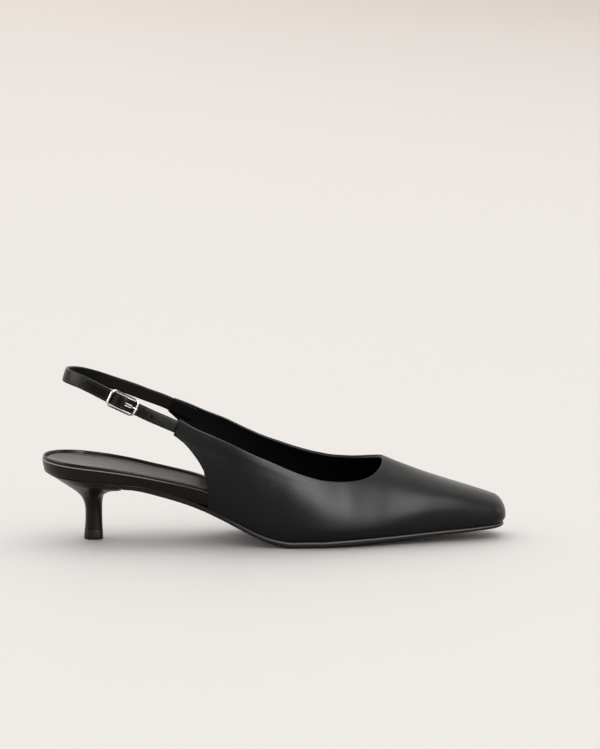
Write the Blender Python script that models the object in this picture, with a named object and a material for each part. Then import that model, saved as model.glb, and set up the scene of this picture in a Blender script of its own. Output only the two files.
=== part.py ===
"""Slingback pump, right shoe, with a narrow square toe and a kitten heel.

Metres, +Z up, toe to +X, floor at z = 0. The buckle is on the outer side, at -Y.
Stations are given as distances s from the back of the seat, as shares of the length.
"""
import math

import bmesh
import bpy
import numpy as np
from mathutils import Vector

# driving sizes
LENGTH = 0.2606          # back of the seat to the tip of the toe
BALL_WIDTH = 0.0762      # upper, widest
SEAT_HEIGHT = 0.0474     # top of the seat at its back
THROAT_HEIGHT = 0.0456   # top of the vamp at the throat
SEAT_WIDTH = 0.0500
WALL = 0.0018            # satin, stiffener and lining
EDGE_ROLL = 0.00025      # the folded topline stands this much proud
ROLL_REACH = 0.0060      # and this far down
SOLE_THICK = 0.0035      # sole thickness under the ball
GAP = 0.0003             # between pieces with curved faces
BED_CLEAR = 0.0007       # footbed's rim to the inside of the upper
RIM_WIDTH = 0.0017       # rolled edge of the footbed round the sock
RIM_DEPTH = 0.0015
STRAP_WIDTH = 0.0074
STRAP_THICK = 0.0015
TIP_HEIGHT = 0.0055
BUCKLE_LENGTH = 0.0166
BUCKLE_WIDTH = 0.0104
BUCKLE_WIRE = 0.00062    # radius of the frame
BAR_WIRE = 0.00050
PRONG_WIRE = 0.00040
PRONG_TIP = 0.0013       # the prong reaches this far past the middle of the frame's front rail

X0 = -LENGTH / 2         # back of the seat in the part's frame
TOE_Y = 0.0030           # the toe's middle lies this much to the inside

COLOURS = {
    "upper": (0.012, 0.012, 0.013), "outsole": (0.02, 0.018, 0.017),
    "footbed": (0.014, 0.013, 0.013), "sock": (0.05, 0.043, 0.038),
    "heel": (0.014, 0.013, 0.013), "top_piece": (0.02, 0.02, 0.02),
    "strap_back": (0.014, 0.014, 0.015), "strap_front": (0.014, 0.014, 0.015),
    "buckle_frame": (0.75, 0.74, 0.72), "buckle_bar": (0.75, 0.74, 0.72),
    "buckle_prong": (0.75, 0.74, 0.72),
}

# Tables
# s: share of the length. Other columns: share of the size named above the column.

# underside of the sole at its middle: s, height as a share of the seat height
UNDERSIDE = [
    (0.165, 0.633), (0.188, 0.627), (0.207, 0.611), (0.250, 0.551), (0.300, 0.472), (0.334, 0.408),
    (0.376, 0.313), (0.417, 0.204), (0.449, 0.118), (0.480, 0.052), (0.508, 0.014), (0.527, 0.000),
    (0.590, 0.000), (0.625, 0.009), (0.680, 0.027), (0.760, 0.055), (0.840, 0.080), (0.915, 0.101),
    (0.970, 0.124), (1.000, 0.137),
]
# thickness of the sole: s, share of its thickness under the ball
SOLE_TAPER = [
    (0.165, 0.862), (0.250, 0.862), (0.300, 0.850), (0.334, 0.810), (0.376, 0.775), (0.450, 0.770),
    (0.500, 0.890), (0.550, 1.000), (0.630, 0.970), (0.700, 0.860), (0.760, 0.750), (0.840, 0.690),
    (0.915, 0.610), (1.000, 0.550),
]
# underside of the footbed over the heel, back to breast
SEAT_BASE = [(0.000, 0.802), (0.029, 0.797), (0.058, 0.786), (0.092, 0.769), (0.120, 0.751),
             (0.145, 0.730), (0.165, 0.711)]
# rim of the footbed: s, height as a share of the seat height
RIM = [
    (0.000, 1.000), (0.013, 0.996), (0.048, 0.981), (0.092, 0.957), (0.134, 0.928), (0.184, 0.884),
    (0.251, 0.806), (0.309, 0.734), (0.342, 0.684), (0.376, 0.600), (0.420, 0.462), (0.449, 0.370),
    (0.480, 0.285), (0.508, 0.226), (0.534, 0.190), (0.576, 0.166), (0.640, 0.162), (0.720, 0.182),
    (0.800, 0.210), (0.900, 0.250), (1.000, 0.300),
]
# footbed outline: s, outer side, inner side (share of half the seat width)
BED_PLAN = [
    (0.000, 0.99, 0.99), (0.060, 0.99, 0.98), (0.095, 1.00, 1.00), (0.138, 1.01, 1.00),
    (0.184, 0.985, 0.955), (0.251, 0.925, 0.865), (0.309, 0.915, 0.820), (0.342, 0.925, 0.815),
    (0.376, 0.980, 0.835), (0.420, 1.100, 0.900), (0.480, 1.230, 1.040), (0.534, 1.275, 1.180),
    (0.580, 1.265, 1.245), (0.640, 1.205, 1.290), (0.700, 1.100, 1.265), (0.760, 0.935, 1.110),
    (0.825, 0.755, 0.930), (0.883, 0.600, 0.775), (0.930, 0.470, 0.640), (1.000, 0.300, 0.460),
]
# how far the footbed's side comes in from the rim to its base (share of half the seat width)
BED_TUCK = [
    (0.00, 0.060), (0.12, 0.060), (0.20, 0.130), (0.26, 0.150), (0.32, 0.130), (0.37, 0.090),
    (0.45, 0.030), (0.55, 0.010), (1.00, 0.010),
]
# sole outline: s, outer side, inner side (share of half the ball width)
SOLE_PLAN = [
    (0.168, 0.395, 0.385), (0.207, 0.415, 0.385), (0.250, 0.430, 0.375), (0.300, 0.470, 0.380),
    (0.334, 0.530, 0.430), (0.376, 0.655, 0.555), (0.420, 0.765, 0.640), (0.480, 0.865, 0.745),
    (0.534, 0.895, 0.828), (0.576, 0.893, 0.872), (0.634, 0.860, 0.900), (0.690, 0.795, 0.890),
    (0.760, 0.680, 0.775), (0.825, 0.563, 0.667), (0.883, 0.460, 0.566), (0.930, 0.374, 0.480),
    (1.000, 0.250, 0.360),
]
# upper, foot of the wall (feather line): s, outer, inner (share of half the ball width)
FEATHER = [
    (0.340, 0.590, 0.530), (0.376, 0.655, 0.560), (0.420, 0.750, 0.630), (0.480, 0.848, 0.733),
    (0.534, 0.878, 0.812), (0.576, 0.876, 0.856), (0.634, 0.843, 0.884), (0.690, 0.778, 0.874),
    (0.760, 0.663, 0.758), (0.825, 0.546, 0.650), (0.883, 0.443, 0.549), (0.930, 0.357, 0.463),
    (1.000, 0.240, 0.345),
]
# upper, widest line: s, outer, inner (share of half the ball width), height (share of throat height)
WIDEST = [
    (0.270, 0.722, 0.716, 1.22), (0.307, 0.728, 0.722, 1.20), (0.345, 0.744, 0.732, 1.12),
    (0.376, 0.770, 0.742, 0.965), (0.418, 0.828, 0.782, 0.735), (0.449, 0.872, 0.816, 0.590),
    (0.480, 0.910, 0.853, 0.480), (0.534, 0.965, 0.915, 0.352), (0.576, 0.984, 0.955, 0.284),
    (0.634, 0.957, 0.982, 0.246), (0.690, 0.882, 0.968, 0.252), (0.760, 0.747, 0.842, 0.306),
    (0.825, 0.620, 0.722, 0.364), (0.883, 0.510, 0.612, 0.372), (0.930, 0.424, 0.518, 0.332),
    (1.000, 0.290, 0.385, 0.260),
]
# crest of the last, free above the opening: s, side shift (share of half the ball width),
# height (share of throat height), fullness of the section (superellipse exponent)
CREST = [
    (0.270, 0.00, 2.70, 2.40), (0.345, 0.00, 2.26, 2.30), (0.418, 0.01, 1.90, 2.25),
    (0.480, 0.02, 1.66, 2.10), (0.534, 0.03, 1.46, 2.00), (0.576, 0.03, 1.335, 1.90),
    (0.634, 0.04, 1.195, 1.78), (0.690, 0.045, 1.085, 1.70), (0.732, 0.05, 1.000, 1.68),
    (0.770, 0.055, 0.912, 1.76), (0.822, 0.065, 0.796, 1.95), (0.875, 0.070, 0.693, 2.15),
    (0.928, 0.075, 0.600, 2.20), (0.963, 0.079, 0.537, 2.15), (1.000, 0.079, 0.470, 2.10),
]
# topline: s, height outer side, height inner side (share of throat height)
TOPLINE = [
    (0.288, 1.570, 1.640), (0.320, 1.455, 1.570), (0.352, 1.378, 1.490), (0.396, 1.270, 1.392),
    (0.440, 1.150, 1.270), (0.481, 1.052, 1.165), (0.520, 0.955, 1.086), (0.558, 0.876, 1.014),
    (0.597, 0.818, 0.959), (0.640, 0.795, 0.925), (0.668, 0.798, 0.925), (0.690, 0.822, 0.938),
    (0.708, 0.868, 0.958), (0.721, 0.926, 0.978), (0.7285, 0.975, 0.994), (0.7315, 1.000, 1.000),
]
THROAT = 0.7315          # the topline meets the crest here
# back edge of each quarter, from the sole up to the tab's lower corner: s, height (share of throat)
BACK_EDGE = [
    (0.3490, 0.520), (0.3480, 0.620), (0.3462, 0.720), (0.3418, 0.880), (0.3325, 1.000),
    (0.3160, 1.145), (0.2975, 1.270), (0.2738, 1.378),
]
TAB_TOP = (0.2885, 1.568)
INNER_START = 0.006      # the inner quarter's foot lies this share of the length further forward

# strap, middle line: s, y (metres, share of half the strap's spread), height (share of seat height)
STRAP_SPREAD = BALL_WIDTH * 0.32283   # it lies against the quarters, so it follows their width
STRAP_OUTER = [
    (0.050, 0.00, 1.950), (0.0535, 0.20, 1.946), (0.066, 0.400, 1.930), (0.084, 0.560, 1.902),
    (0.115, 0.735, 1.829), (0.154, 0.875, 1.727), (0.192, 0.945, 1.632), (0.230, 0.985, 1.535),
    (0.266, 0.985, 1.449), (0.300, 0.978, 1.363), (0.340, 0.985, 1.250),
]
STRAP_INNER = [
    (0.050, 0.00, 1.950), (0.0535, 0.20, 1.949), (0.066, 0.400, 1.938), (0.084, 0.560, 1.915),
    (0.115, 0.745, 1.858), (0.154, 0.890, 1.775), (0.192, 0.955, 1.700), (0.230, 0.985, 1.618),
    (0.266, 0.980, 1.544), (0.300, 0.972, 1.456), (0.340, 0.978, 1.352),
]

# heel, slices from the top piece to the seat: height as a share of the seat height, s at the
# back, s at the front, half width (share of half the seat width), exponent, tilt as a share of the
# seat's own slope
HEEL = [
    (0.000, 0.0902, 0.1310, 0.215, 3.0, 0.0), (0.030, 0.0904, 0.1308, 0.213, 3.0, 0.0),
    (0.120, 0.0917, 0.1300, 0.204, 2.8, 0.0), (0.220, 0.0928, 0.1292, 0.197, 2.6, 0.0),
    (0.320, 0.0930, 0.1288, 0.198, 2.4, 0.0), (0.390, 0.0919, 0.1288, 0.212, 2.3, 0.0),
    (0.445, 0.0892, 0.1292, 0.245, 2.2, 0.02), (0.500, 0.0842, 0.1306, 0.302, 2.1, 0.08),
    (0.545, 0.0765, 0.1336, 0.378, 2.05, 0.20), (0.585, 0.0665, 0.1400, 0.468, 2.0, 0.36),
    (0.622, 0.0545, 0.1502, 0.570, 2.0, 0.55), (0.652, 0.0435, 0.1679, 0.690, 2.0, 0.78),
    (0.668, 0.0378, 0.1683, 0.735, 2.0, 0.86), (0.690, 0.0312, 0.1683, 0.785, 2.0, 0.94),
    (0.733, 0.0185, 0.1683, 0.862, 2.05, 1.0), (0.750, 0.0143, 0.1684, 0.893, 2.1, 1.0),
]


# Curves
def spline(table, column):
    """Smooth function of s (a share) through one column of a table, without overshoot."""
    x = np.array([row[0] for row in table], float)
    y = np.array([row[column] for row in table], float)
    h = np.diff(x)
    d = np.diff(y) / h
    m = np.zeros(len(x))
    for k in range(1, len(x) - 1):
        if d[k - 1] * d[k] > 0:
            w1, w2 = 2 * h[k] + h[k - 1], h[k] + 2 * h[k - 1]
            m[k] = (w1 + w2) / (w1 / d[k - 1] + w2 / d[k])
    m[0] = d[0] + (d[0] - m[1]) * 0.5 if len(x) > 2 else d[0]
    m[-1] = d[-1] + (d[-1] - m[-2]) * 0.5 if len(x) > 2 else d[-1]

    def value(s):
        s = min(max(s, x[0]), x[-1])
        k = min(max(int(np.searchsorted(x, s)) - 1, 0), len(h) - 1)
        t = (s - x[k]) / h[k]
        a = (1 + 2 * t) * (1 - t) ** 2 * y[k] + t * (1 - t) ** 2 * h[k] * m[k]
        b = t * t * (3 - 2 * t) * y[k + 1] + t * t * (t - 1) * h[k] * m[k + 1]
        return float(a + b)

    return value


HALF_BALL = BALL_WIDTH / 2
HALF_SEAT = SEAT_WIDTH / 2
f_under = spline(UNDERSIDE, 1)
f_seat = spline(SEAT_BASE, 1)
f_taper = spline(SOLE_TAPER, 1)
f_rim = spline(RIM, 1)
f_tuck = spline(BED_TUCK, 1)
f_bed = {-1: spline(BED_PLAN, 1), 1: spline(BED_PLAN, 2)}
f_sole = {-1: spline(SOLE_PLAN, 1), 1: spline(SOLE_PLAN, 2)}
f_feather = {-1: spline(FEATHER, 1), 1: spline(FEATHER, 2)}
f_wide = {-1: spline(WIDEST, 1), 1: spline(WIDEST, 2)}
f_wide_z = spline(WIDEST, 3)
f_crest_y, f_crest_z, f_crest_n = spline(CREST, 1), spline(CREST, 2), spline(CREST, 3)
f_top = {-1: spline(TOPLINE, 1), 1: spline(TOPLINE, 2)}


def sole_base(s):
    return SEAT_HEIGHT * f_under(s)


def sole_top(s):
    return sole_base(s) + SOLE_THICK * f_taper(s)


def bed_base(s):
    """Underside of the footbed: on the heel at the seat, on the sole in front of it."""
    if s <= 0.165:
        return SEAT_HEIGHT * f_seat(s)
    over_sole = sole_top(s) + GAP
    mix = min((s - 0.165) / 0.045, 1.0)
    mix = mix * mix * (3 - 2 * mix)
    slope = SEAT_HEIGHT * (f_seat(0.165) - f_seat(0.150)) / 0.015
    straight = SEAT_HEIGHT * f_seat(0.165) + slope * (s - 0.165)
    return max(straight * (1 - mix) + over_sole * mix, over_sole)


def station(u, back_radius, toe_radius, start, end):
    """Even stations with the ends crowded, so that a round end is followed closely."""
    a, b = start + back_radius, end - toe_radius
    n_back, n_toe = 0.16 if back_radius else 0.0, 0.18
    if u < n_back:
        return start + back_radius * (1 - math.cos(u / n_back * math.pi / 2))
    if u > 1 - n_toe:
        return b + toe_radius * math.sin((u - 1 + n_toe) / n_toe * math.pi / 2)
    return a + (b - a) * (u - n_back) / (1 - n_back - n_toe)


def cap(s, back_radius, toe_radius, start, end, back_n=2.0, toe_n=2.5):
    """Share of the half width that is left where the outline closes round an end."""
    k = 1.0
    if back_radius and s < start + back_radius:
        k *= max(0.0, 1 - ((start + back_radius - s) / back_radius) ** back_n) ** (1 / back_n)
    if s > end - toe_radius:
        k *= max(0.0, 1 - ((s - end + toe_radius) / toe_radius) ** toe_n) ** (1 / toe_n)
    return k


def middle(s):
    """Middle line in plan: straight through the heel, bending to the toe's middle."""
    t = min(max((s - 0.35) / 0.65, 0.0), 1.0)
    return TOE_Y * t * t * (3 - 2 * t)


# Mesh helpers
def material(name):
    m = bpy.data.materials.new(name)
    m.use_nodes = True
    shader = m.node_tree.nodes["Principled BSDF"]
    shader.inputs["Base Color"].default_value = (*COLOURS[name], 1.0)
    metal = name.startswith("buckle")
    shader.inputs["Metallic"].default_value = 1.0 if metal else 0.0
    shader.inputs["Roughness"].default_value = 0.25 if metal else 0.5
    return m


def add_object(name, verts, faces):
    mesh = bpy.data.meshes.new(name)
    mesh.from_pydata([tuple(v) for v in verts], [], faces)
    work = bmesh.new()
    work.from_mesh(mesh)
    bmesh.ops.remove_doubles(work, verts=work.verts, dist=2e-6)
    bmesh.ops.dissolve_degenerate(work, dist=1e-6, edges=work.edges)
    bmesh.ops.recalc_face_normals(work, faces=work.faces)
    bmesh.ops.triangulate(work, faces=work.faces)
    if work.calc_volume(signed=True) < 0:
        bmesh.ops.reverse_faces(work, faces=work.faces)
    work.to_mesh(mesh)
    work.free()
    mesh.materials.append(material(name))
    thing = bpy.data.objects.new(name, mesh)
    bpy.context.scene.collection.objects.link(thing)
    return thing


def loop_points(half, level, count, ends, radii, start, end, toe_n=2.5, back_n=2.0):
    """Closed outline: back middle, outer side, toe middle, inner side. level gives the height."""
    points = []
    for k in list(range(count + 1)) + list(range(count - 1, 0, -1)):
        side = -1 if len(points) <= count else 1
        s = station(k / count, radii[0], radii[1], start, end)
        share = cap(s, radii[0], radii[1], start, end, back_n, toe_n)
        mid = middle(s) if ends else 0.0
        y = mid + side * max(half(side, s) - side * mid, 0.0) * share
        points.append(Vector((X0 + LENGTH * s, y, level(s))))
    return points


def offset_loop(points, distance, count):
    """The outline moved inward by a distance, in plan."""
    out = []
    n = len(points)
    for k, p in enumerate(points):
        a, b = points[k - 1], points[(k + 1) % n]
        t = Vector((b.x - a.x, b.y - a.y, 0.0)).normalized()
        inward = Vector((-t.y, t.x, 0.0))
        out.append(p + inward * distance)
    for k in (0, count):
        out[k].y = points[k].y
    return out


def slab(name, loops, top_level, base_level, lanes=4):
    """Closed solid: the loops are joined in turn, the first and the last filled across."""
    verts, faces = [], []
    n = len(loops[0])
    half = n // 2
    starts = []
    for loop in loops:
        starts.append(len(verts))
        verts.extend(loop)
    for a, b in zip(starts, starts[1:]):
        for k in range(n):
            q = (k + 1) % n
            faces.append((a + k, a + q, b + q, b + k))
    for which, level in ((0, base_level), (-1, top_level)):
        base, loop = starts[which], loops[which]
        rows = [[base]]
        for k in range(1, half):
            left, right = loop[k], loop[n - k]
            row = [base + k]
            for j in range(1, lanes):
                t = j / lanes
                p = left.lerp(right, t)
                row.append(len(verts))
                verts.append(Vector((p.x, p.y, p.z + level(p, 2 * t - 1, left, right))))
            row.append(base + n - k)
            rows.append(row)
        rows.append([base + half])
        for r, q in zip(rows, rows[1:]):
            if len(r) == 1:
                faces.extend((r[0], q[j], q[j + 1]) for j in range(len(q) - 1))
            elif len(q) == 1:
                faces.extend((r[j], q[0], r[j + 1]) for j in range(len(r) - 1))
            else:
                faces.extend((r[j], q[j], q[j + 1], r[j + 1]) for j in range(lanes))
    return add_object(name, verts, faces)


def flat(p, t, left, right):
    return 0.0


# Upper
TOE_R = {"wide": 0.036, "feather": 0.034, "crest": 0.030}
TOE_END = {"wide": 1.0000, "feather": 0.9935, "crest": 0.9740}
ROWS_LOW, ROWS_HIGH = 3, 9
QUARTER_STEPS = 13


def guide(kind, s, side):
    """One guide point of the upper at station s."""
    end, r = TOE_END[kind], TOE_R[kind]
    share = cap(s, 0, r, 0, end, toe_n=2.6)
    mid = middle(s)
    half = {"wide": f_wide, "feather": f_feather}[kind][side](s) * HALF_BALL
    y = mid + side * max(half - side * mid, 0.0) * share
    z = THROAT_HEIGHT * f_wide_z(s) if kind == "wide" else sole_top(s) + GAP
    return Vector((X0 + LENGTH * s, y, z))


def crest_point(s):
    """Crest: over the middle line at the instep, drifting to the toe's middle."""
    return Vector((X0 + LENGTH * s, middle(s) * 0.6 + HALF_BALL * f_crest_y(s) * 0.4,
                   THROAT_HEIGHT * f_crest_z(s)))


def crest_slope(s):
    d = 0.004
    return THROAT_HEIGHT * (f_crest_z(s + d) - f_crest_z(s - d)) / (2 * d * LENGTH)


def wall_y(s, z, side):
    """Side position of the last's surface at station s and height z."""
    wide, crest, n = guide("wide", s, side), crest_point(s), f_crest_n(s)
    if z >= wide.z:
        v = min((z - wide.z) / (crest.z - wide.z), 1.0)
        c = max(0.0, 1 - v ** n) ** (1 / n)
        return crest.y + (wide.y - crest.y) * c
    foot = guide("feather", max(s, 0.340), side)
    v = (wide.z - z) / max(wide.z - foot.z, 1e-6)
    return wide.y + (foot.y - wide.y) * v ** 2


def column(u_s, side):
    """Points of one column from the feather line to the topline or the crest."""
    s_w, s_f, s_c = u_s
    wide, foot, crest = guide("wide", s_w, side), guide("feather", s_f, side), crest_point(s_c)
    n = f_crest_n(s_w)
    slope = crest_slope(min(s_c, 0.95))
    points = []
    for i in range(ROWS_LOW):
        v = 1 - i / ROWS_LOW
        p = wide.lerp(foot, v ** 2)
        p.z = wide.z + (foot.z - wide.z) * v
        points.append(p)
    stop = math.pi / 2
    if s_c < THROAT:
        rise = (THROAT_HEIGHT * f_top[side](s_c) - wide.z) / (crest.z - wide.z)
        stop = math.asin(min(1.0, max(0.0, rise) ** (n / 2)))
    for i in range(ROWS_HIGH + 1):
        a = stop * i / ROWS_HIGH
        c, v = abs(math.cos(a)) ** (2 / n), math.sin(a) ** (2 / n)
        if i == ROWS_HIGH and s_c >= THROAT:
            c, v = 0.0, 1.0
        p = crest + (wide - crest) * c
        p.z = wide.z + (crest.z - wide.z) * v + slope * (p.x - crest.x) * v ** 2
        points.append(p)
    return points


def stations_fore():
    """Stations from the front of the quarter to the toe's middle, as (widest, feather, crest)."""
    body = list(np.linspace(0.480, 0.640, 8)[:-1]) + list(np.linspace(0.640, 0.700, 5)[:-1])
    body += [0.700, 0.711, 0.719, 0.7245, 0.7285, 0.7306, THROAT]
    out = [(s, s, s) for s in body]
    last = THROAT
    turn = 0.89
    for k in range(1, 8):
        t = k / 7
        s = last + (turn - last) * (0.25 * t + 0.75 * t ** 1.15)
        out.append((s, s, s))
    turns = 10
    for k in range(1, turns + 1):
        a = k / turns
        row = []
        for kind in ("wide", "feather", "crest"):
            end, r = TOE_END[kind], TOE_R[kind]
            straight = end - r - turn
            whole = straight + r * 1.15
            d = a * whole
            if d < straight:
                row.append(turn + d)
            else:
                row.append(end - r + r * math.sin((d - straight) / (r * 1.15) * math.pi / 2))
        if k == turns:
            row = [TOE_END["wide"], TOE_END["feather"], TOE_END["crest"]]
        out.append(tuple(row))
    return out


def quarter(side, first_fore):
    """Grid between the quarter's back edge and the first straight column."""
    steps = QUARTER_STEPS
    s_end = 0.480
    rows = ROWS_LOW + ROWS_HIGH + 1
    edge = [(a, THROAT_HEIGHT * b) for a, b in BACK_EDGE]
    edge[0] = (edge[0][0], guide("feather", edge[0][0], side).z)
    lift = (f_top[side](TAB_TOP[0]) - TAB_TOP[1]) * THROAT_HEIGHT
    tab = [(0.2788, THROAT_HEIGHT * 1.443 + lift * 0.9),
           (0.2838, THROAT_HEIGHT * 1.507 + lift * 0.95),
           (TAB_TOP[0], THROAT_HEIGHT * TAB_TOP[1] + lift)]
    if side > 0:
        # the inner quarter starts a little further forward and climbs higher to the strap
        edge = [(a + INNER_START * min(1.0, max(0.0, (1.05 - z / THROAT_HEIGHT) / 0.3)),
                 z + lift * 1.38 * max(0.0, (z / THROAT_HEIGHT - 0.95) / 0.428)) for a, z in edge]
    # back edge resampled evenly up to the tab's lower corner, then the tab's end
    path = np.array([(a * LENGTH, z) for a, z in edge])
    run = np.concatenate([[0], np.cumsum(np.hypot(*np.diff(path, axis=0).T))])
    corner = rows - 4
    left = []
    for i in range(corner + 1):
        d = run[-1] * i / corner
        left.append((np.interp(d, run, path[:, 0]) / LENGTH, float(np.interp(d, run, path[:, 1]))))
    left += tab
    right = [(s_end, p.z) for p in first_fore]
    params = [i / (rows - 1) for i in range(rows)]
    bottom_s = np.linspace(edge[0][0], s_end, steps + 1)
    top_s = np.linspace(TAB_TOP[0], s_end, steps + 1)
    grid = []
    for j in range(steps):
        u = j / steps
        col = []
        for i, v in enumerate(params):
            bs, ts = bottom_s[j], top_s[j]
            bz = guide("feather", bs, side).z
            tz = THROAT_HEIGHT * f_top[side](ts)
            if j == 0:
                s, z = left[i]
            else:
                s = ((1 - u) * left[i][0] + u * right[i][0] + (1 - v) * bs + v * ts
                     - (1 - u) * (1 - v) * left[0][0] - (1 - u) * v * left[-1][0]
                     - u * (1 - v) * right[0][0] - u * v * right[-1][0])
                z = ((1 - u) * left[i][1] + u * right[i][1] + (1 - v) * bz + v * tz
                     - (1 - u) * (1 - v) * left[0][1] - (1 - u) * v * left[-1][1]
                     - u * (1 - v) * right[0][1] - u * v * right[-1][1])
            col.append(Vector((X0 + LENGTH * s, wall_y(s, z, side), z)))
        grid.append(col)
    return grid


def build_upper():
    fore = stations_fore()
    grids = {}
    for side in (-1, 1):
        columns = [column(u, side) for u in fore]
        grids[side] = quarter(side, columns[0]) + columns
    count, rows = len(grids[-1]), ROWS_LOW + ROWS_HIGH + 1
    first_ridge = next(j for j in range(count)
                       if j >= QUARTER_STEPS and fore[j - QUARTER_STEPS][2] >= THROAT)
    # outer surface with shared crest and shared toe column
    verts, index = [], {}
    for side in (-1, 1):
        for j in range(count):
            for i in range(rows):
                shared = (i == rows - 1 and j >= first_ridge) or j == count - 1
                key = (0 if shared else side, j, i)
                if key not in index:
                    index[key] = len(verts)
                    verts.append(grids[side][j][i].copy())
                elif shared:
                    verts[index[key]] = (verts[index[key]] + grids[side][j][i]) / 2

    def vid(side, j, i):
        shared = (i == rows - 1 and j >= first_ridge) or j == count - 1
        return index[(0 if shared else side, j, i)]

    faces = []
    for side in (-1, 1):
        for j in range(count - 1):
            for i in range(rows - 1):
                q = [vid(side, j, i), vid(side, j + 1, i), vid(side, j + 1, i + 1), vid(side, j, i + 1)]
                if len(set(q)) < 3:
                    continue
                q = q if side < 0 else q[::-1]
                faces.append(tuple(dict.fromkeys(q)))
    # vertex normals
    normals = [Vector() for _ in verts]
    for f in faces:
        p = [verts[k] for k in f]
        area = Vector()
        for k in range(1, len(p) - 1):
            area += (p[k] - p[0]).cross(p[k + 1] - p[0])
        for k in f:
            normals[k] += area
    normals = [n.normalized() for n in normals]
    n0 = len(verts)
    inner = []
    for k, (p, n) in enumerate(zip(verts, normals)):
        inner.append(p - n * WALL)
    # the foot of the wall stays level
    for side in (-1, 1):
        for j in range(count):
            k = vid(side, j, 0)
            n = Vector((normals[k].x, normals[k].y, 0.0)).normalized()
            inner[k] = Vector((verts[k].x - n.x * WALL, verts[k].y - n.y * WALL, verts[k].z))
    # the folded edge: the outside swells softly near the topline
    for side in (-1, 1):
        for j in range(first_ridge + 1):
            top = verts[vid(side, j, rows - 1)]
            for i in range(rows):
                k = vid(side, j, i)
                d = (verts[k] - top).length
                if d < ROLL_REACH and i < rows - 1:
                    verts[k] = verts[k] + normals[k] * EDGE_ROLL * math.sin(math.pi * d / ROLL_REACH)
    verts += inner
    faces += [tuple(k + n0 for k in reversed(f)) for f in faces]
    # rims: back edges with tab ends, topline, foot
    rim = []
    for side in (-1, 1):
        rim.append([vid(side, 0, i) for i in range(rows)])
    rim.append([vid(-1, j, rows - 1) for j in range(first_ridge + 1)]
               + [vid(1, j, rows - 1) for j in range(first_ridge - 1, -1, -1)])
    rim.append([vid(-1, j, 0) for j in range(count)]
               + [vid(1, j, 0) for j in range(count - 2, -1, -1)])
    for line in rim:
        for a, b in zip(line, line[1:]):
            faces.append((a, b, b + n0, a + n0))
    return add_object("upper", verts, faces)


# Flat pieces
def build_outsole():
    start, end, radius = 0.1695, 0.9965, 0.0345
    rings = []
    for amount, level in ((0.0009, sole_base), (0.0001, lambda s: sole_base(s) + 0.0008),
                          (0.0, lambda s: sole_base(s) + 0.0015), (0.0003, sole_top)):
        rings.append(sole_ring(amount, level, radius, start, end))
    return slab_open("outsole", rings)


def sole_stations(start, end, radius):
    """The footbed's own stations behind the toe, so that both curve alike, then the toe's."""
    bed = [station(k / COUNT, BED_R[0], BED_R[1], 0.0, BED_END) for k in range(COUNT + 1)]
    turn = 0.90
    body = [start] + [s for s in bed if start + 0.004 < s < turn]
    last, straight = body[-1], end - radius - body[-1]
    whole = straight + radius * 1.2
    for k in range(1, 12):
        d = whole * k / 11
        if d < straight:
            body.append(last + d)
        else:
            body.append(end - radius + radius * math.sin((d - straight) / (radius * 1.2) * math.pi / 2))
    body[-1] = end
    return body


def sole_ring(amount, level, radius, start, end):
    """Outline with a straight back edge (at the heel breast) and a round toe."""
    end = end - amount / LENGTH
    left, right = [], []
    for s in sole_stations(start, end, radius):
        share = cap(s, 0, radius, start, end, toe_n=2.6)
        mid = middle(s)
        row = []
        for side in (-1, 1):
            half = HALF_BALL * f_sole[side](s) - amount
            y = mid + side * max(half - side * mid, 0.0) * share
            row.append(Vector((X0 + LENGTH * s, y, level(s))))
        left.append(row[0])
        right.append(row[1])
    return left, right


def slab_open(name, rings, lanes=4):
    """Solid from rings that each have an outer and an inner side and a straight back edge."""
    verts, faces = [], []
    grids = []
    for which, (left, right) in enumerate(rings):
        ids = []
        for p, q in zip(left, right):
            row = [len(verts)]
            verts.append(p)
            for j in range(1, lanes):
                if which in (0, len(rings) - 1):
                    row.append(len(verts))
                    verts.append(p.lerp(q, j / lanes))
                else:
                    row.append(None)
            row.append(len(verts))
            verts.append(q)
            ids.append(row)
        grids.append(ids)
    for a, b in zip(grids, grids[1:]):
        for side in (0, -1):
            for r, q in zip(range(len(a) - 1), range(1, len(a))):
                faces.append((a[r][side], a[q][side], b[q][side], b[r][side]))
    for ids, turn in ((grids[0], 1), (grids[-1], -1)):
        for r, q in zip(ids, ids[1:]):
            for j in range(lanes):
                faces.append((r[j], r[j + 1], q[j + 1], q[j])[::turn])
    back = [g[0] for g in grids]
    outline = list(back[0]) + [b[-1] for b in back[1:-1]] + list(reversed(back[-1]))
    outline += [b[0] for b in reversed(back[1:-1])]
    faces.append(tuple(outline))
    return add_object(name, verts, faces)


def bed_half(side, s):
    """Half width at the rim, kept inside the upper's wall where the upper covers it."""
    wide = HALF_SEAT * f_bed[side](s)
    if s > 0.345:
        inside = side * wall_y(s, SEAT_HEIGHT * f_rim(s), side) - WALL - BED_CLEAR
        wide = min(wide, inside)
    return wide


def bed_tuck(side, s):
    """How far the side comes in from the rim to the base."""
    tuck = HALF_SEAT * f_tuck(s)
    if s > 0.345:
        tuck = max(tuck, bed_half(side, s) - (HALF_BALL * f_feather[side](s) - WALL - BED_CLEAR))
    return tuck


BED_END = 0.979
BED_R = (HALF_SEAT * 0.985 / LENGTH, 0.030)
COUNT = 46


def bed_loop(level, shrink=0.0, tuck=0.0):
    def half(side, s):
        return bed_half(side, s) - bed_tuck(side, s) * tuck
    loop = loop_points(half, level, COUNT, True, BED_R, 0.0, BED_END, toe_n=2.6)
    if tuck:
        back = HALF_SEAT * 0.06 * tuck
        for p in loop:
            s = (p.x - X0) / LENGTH
            p.x += back * max(0.0, 1 - s / BED_R[0])
    return offset_loop(loop, shrink, COUNT) if shrink else loop


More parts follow.
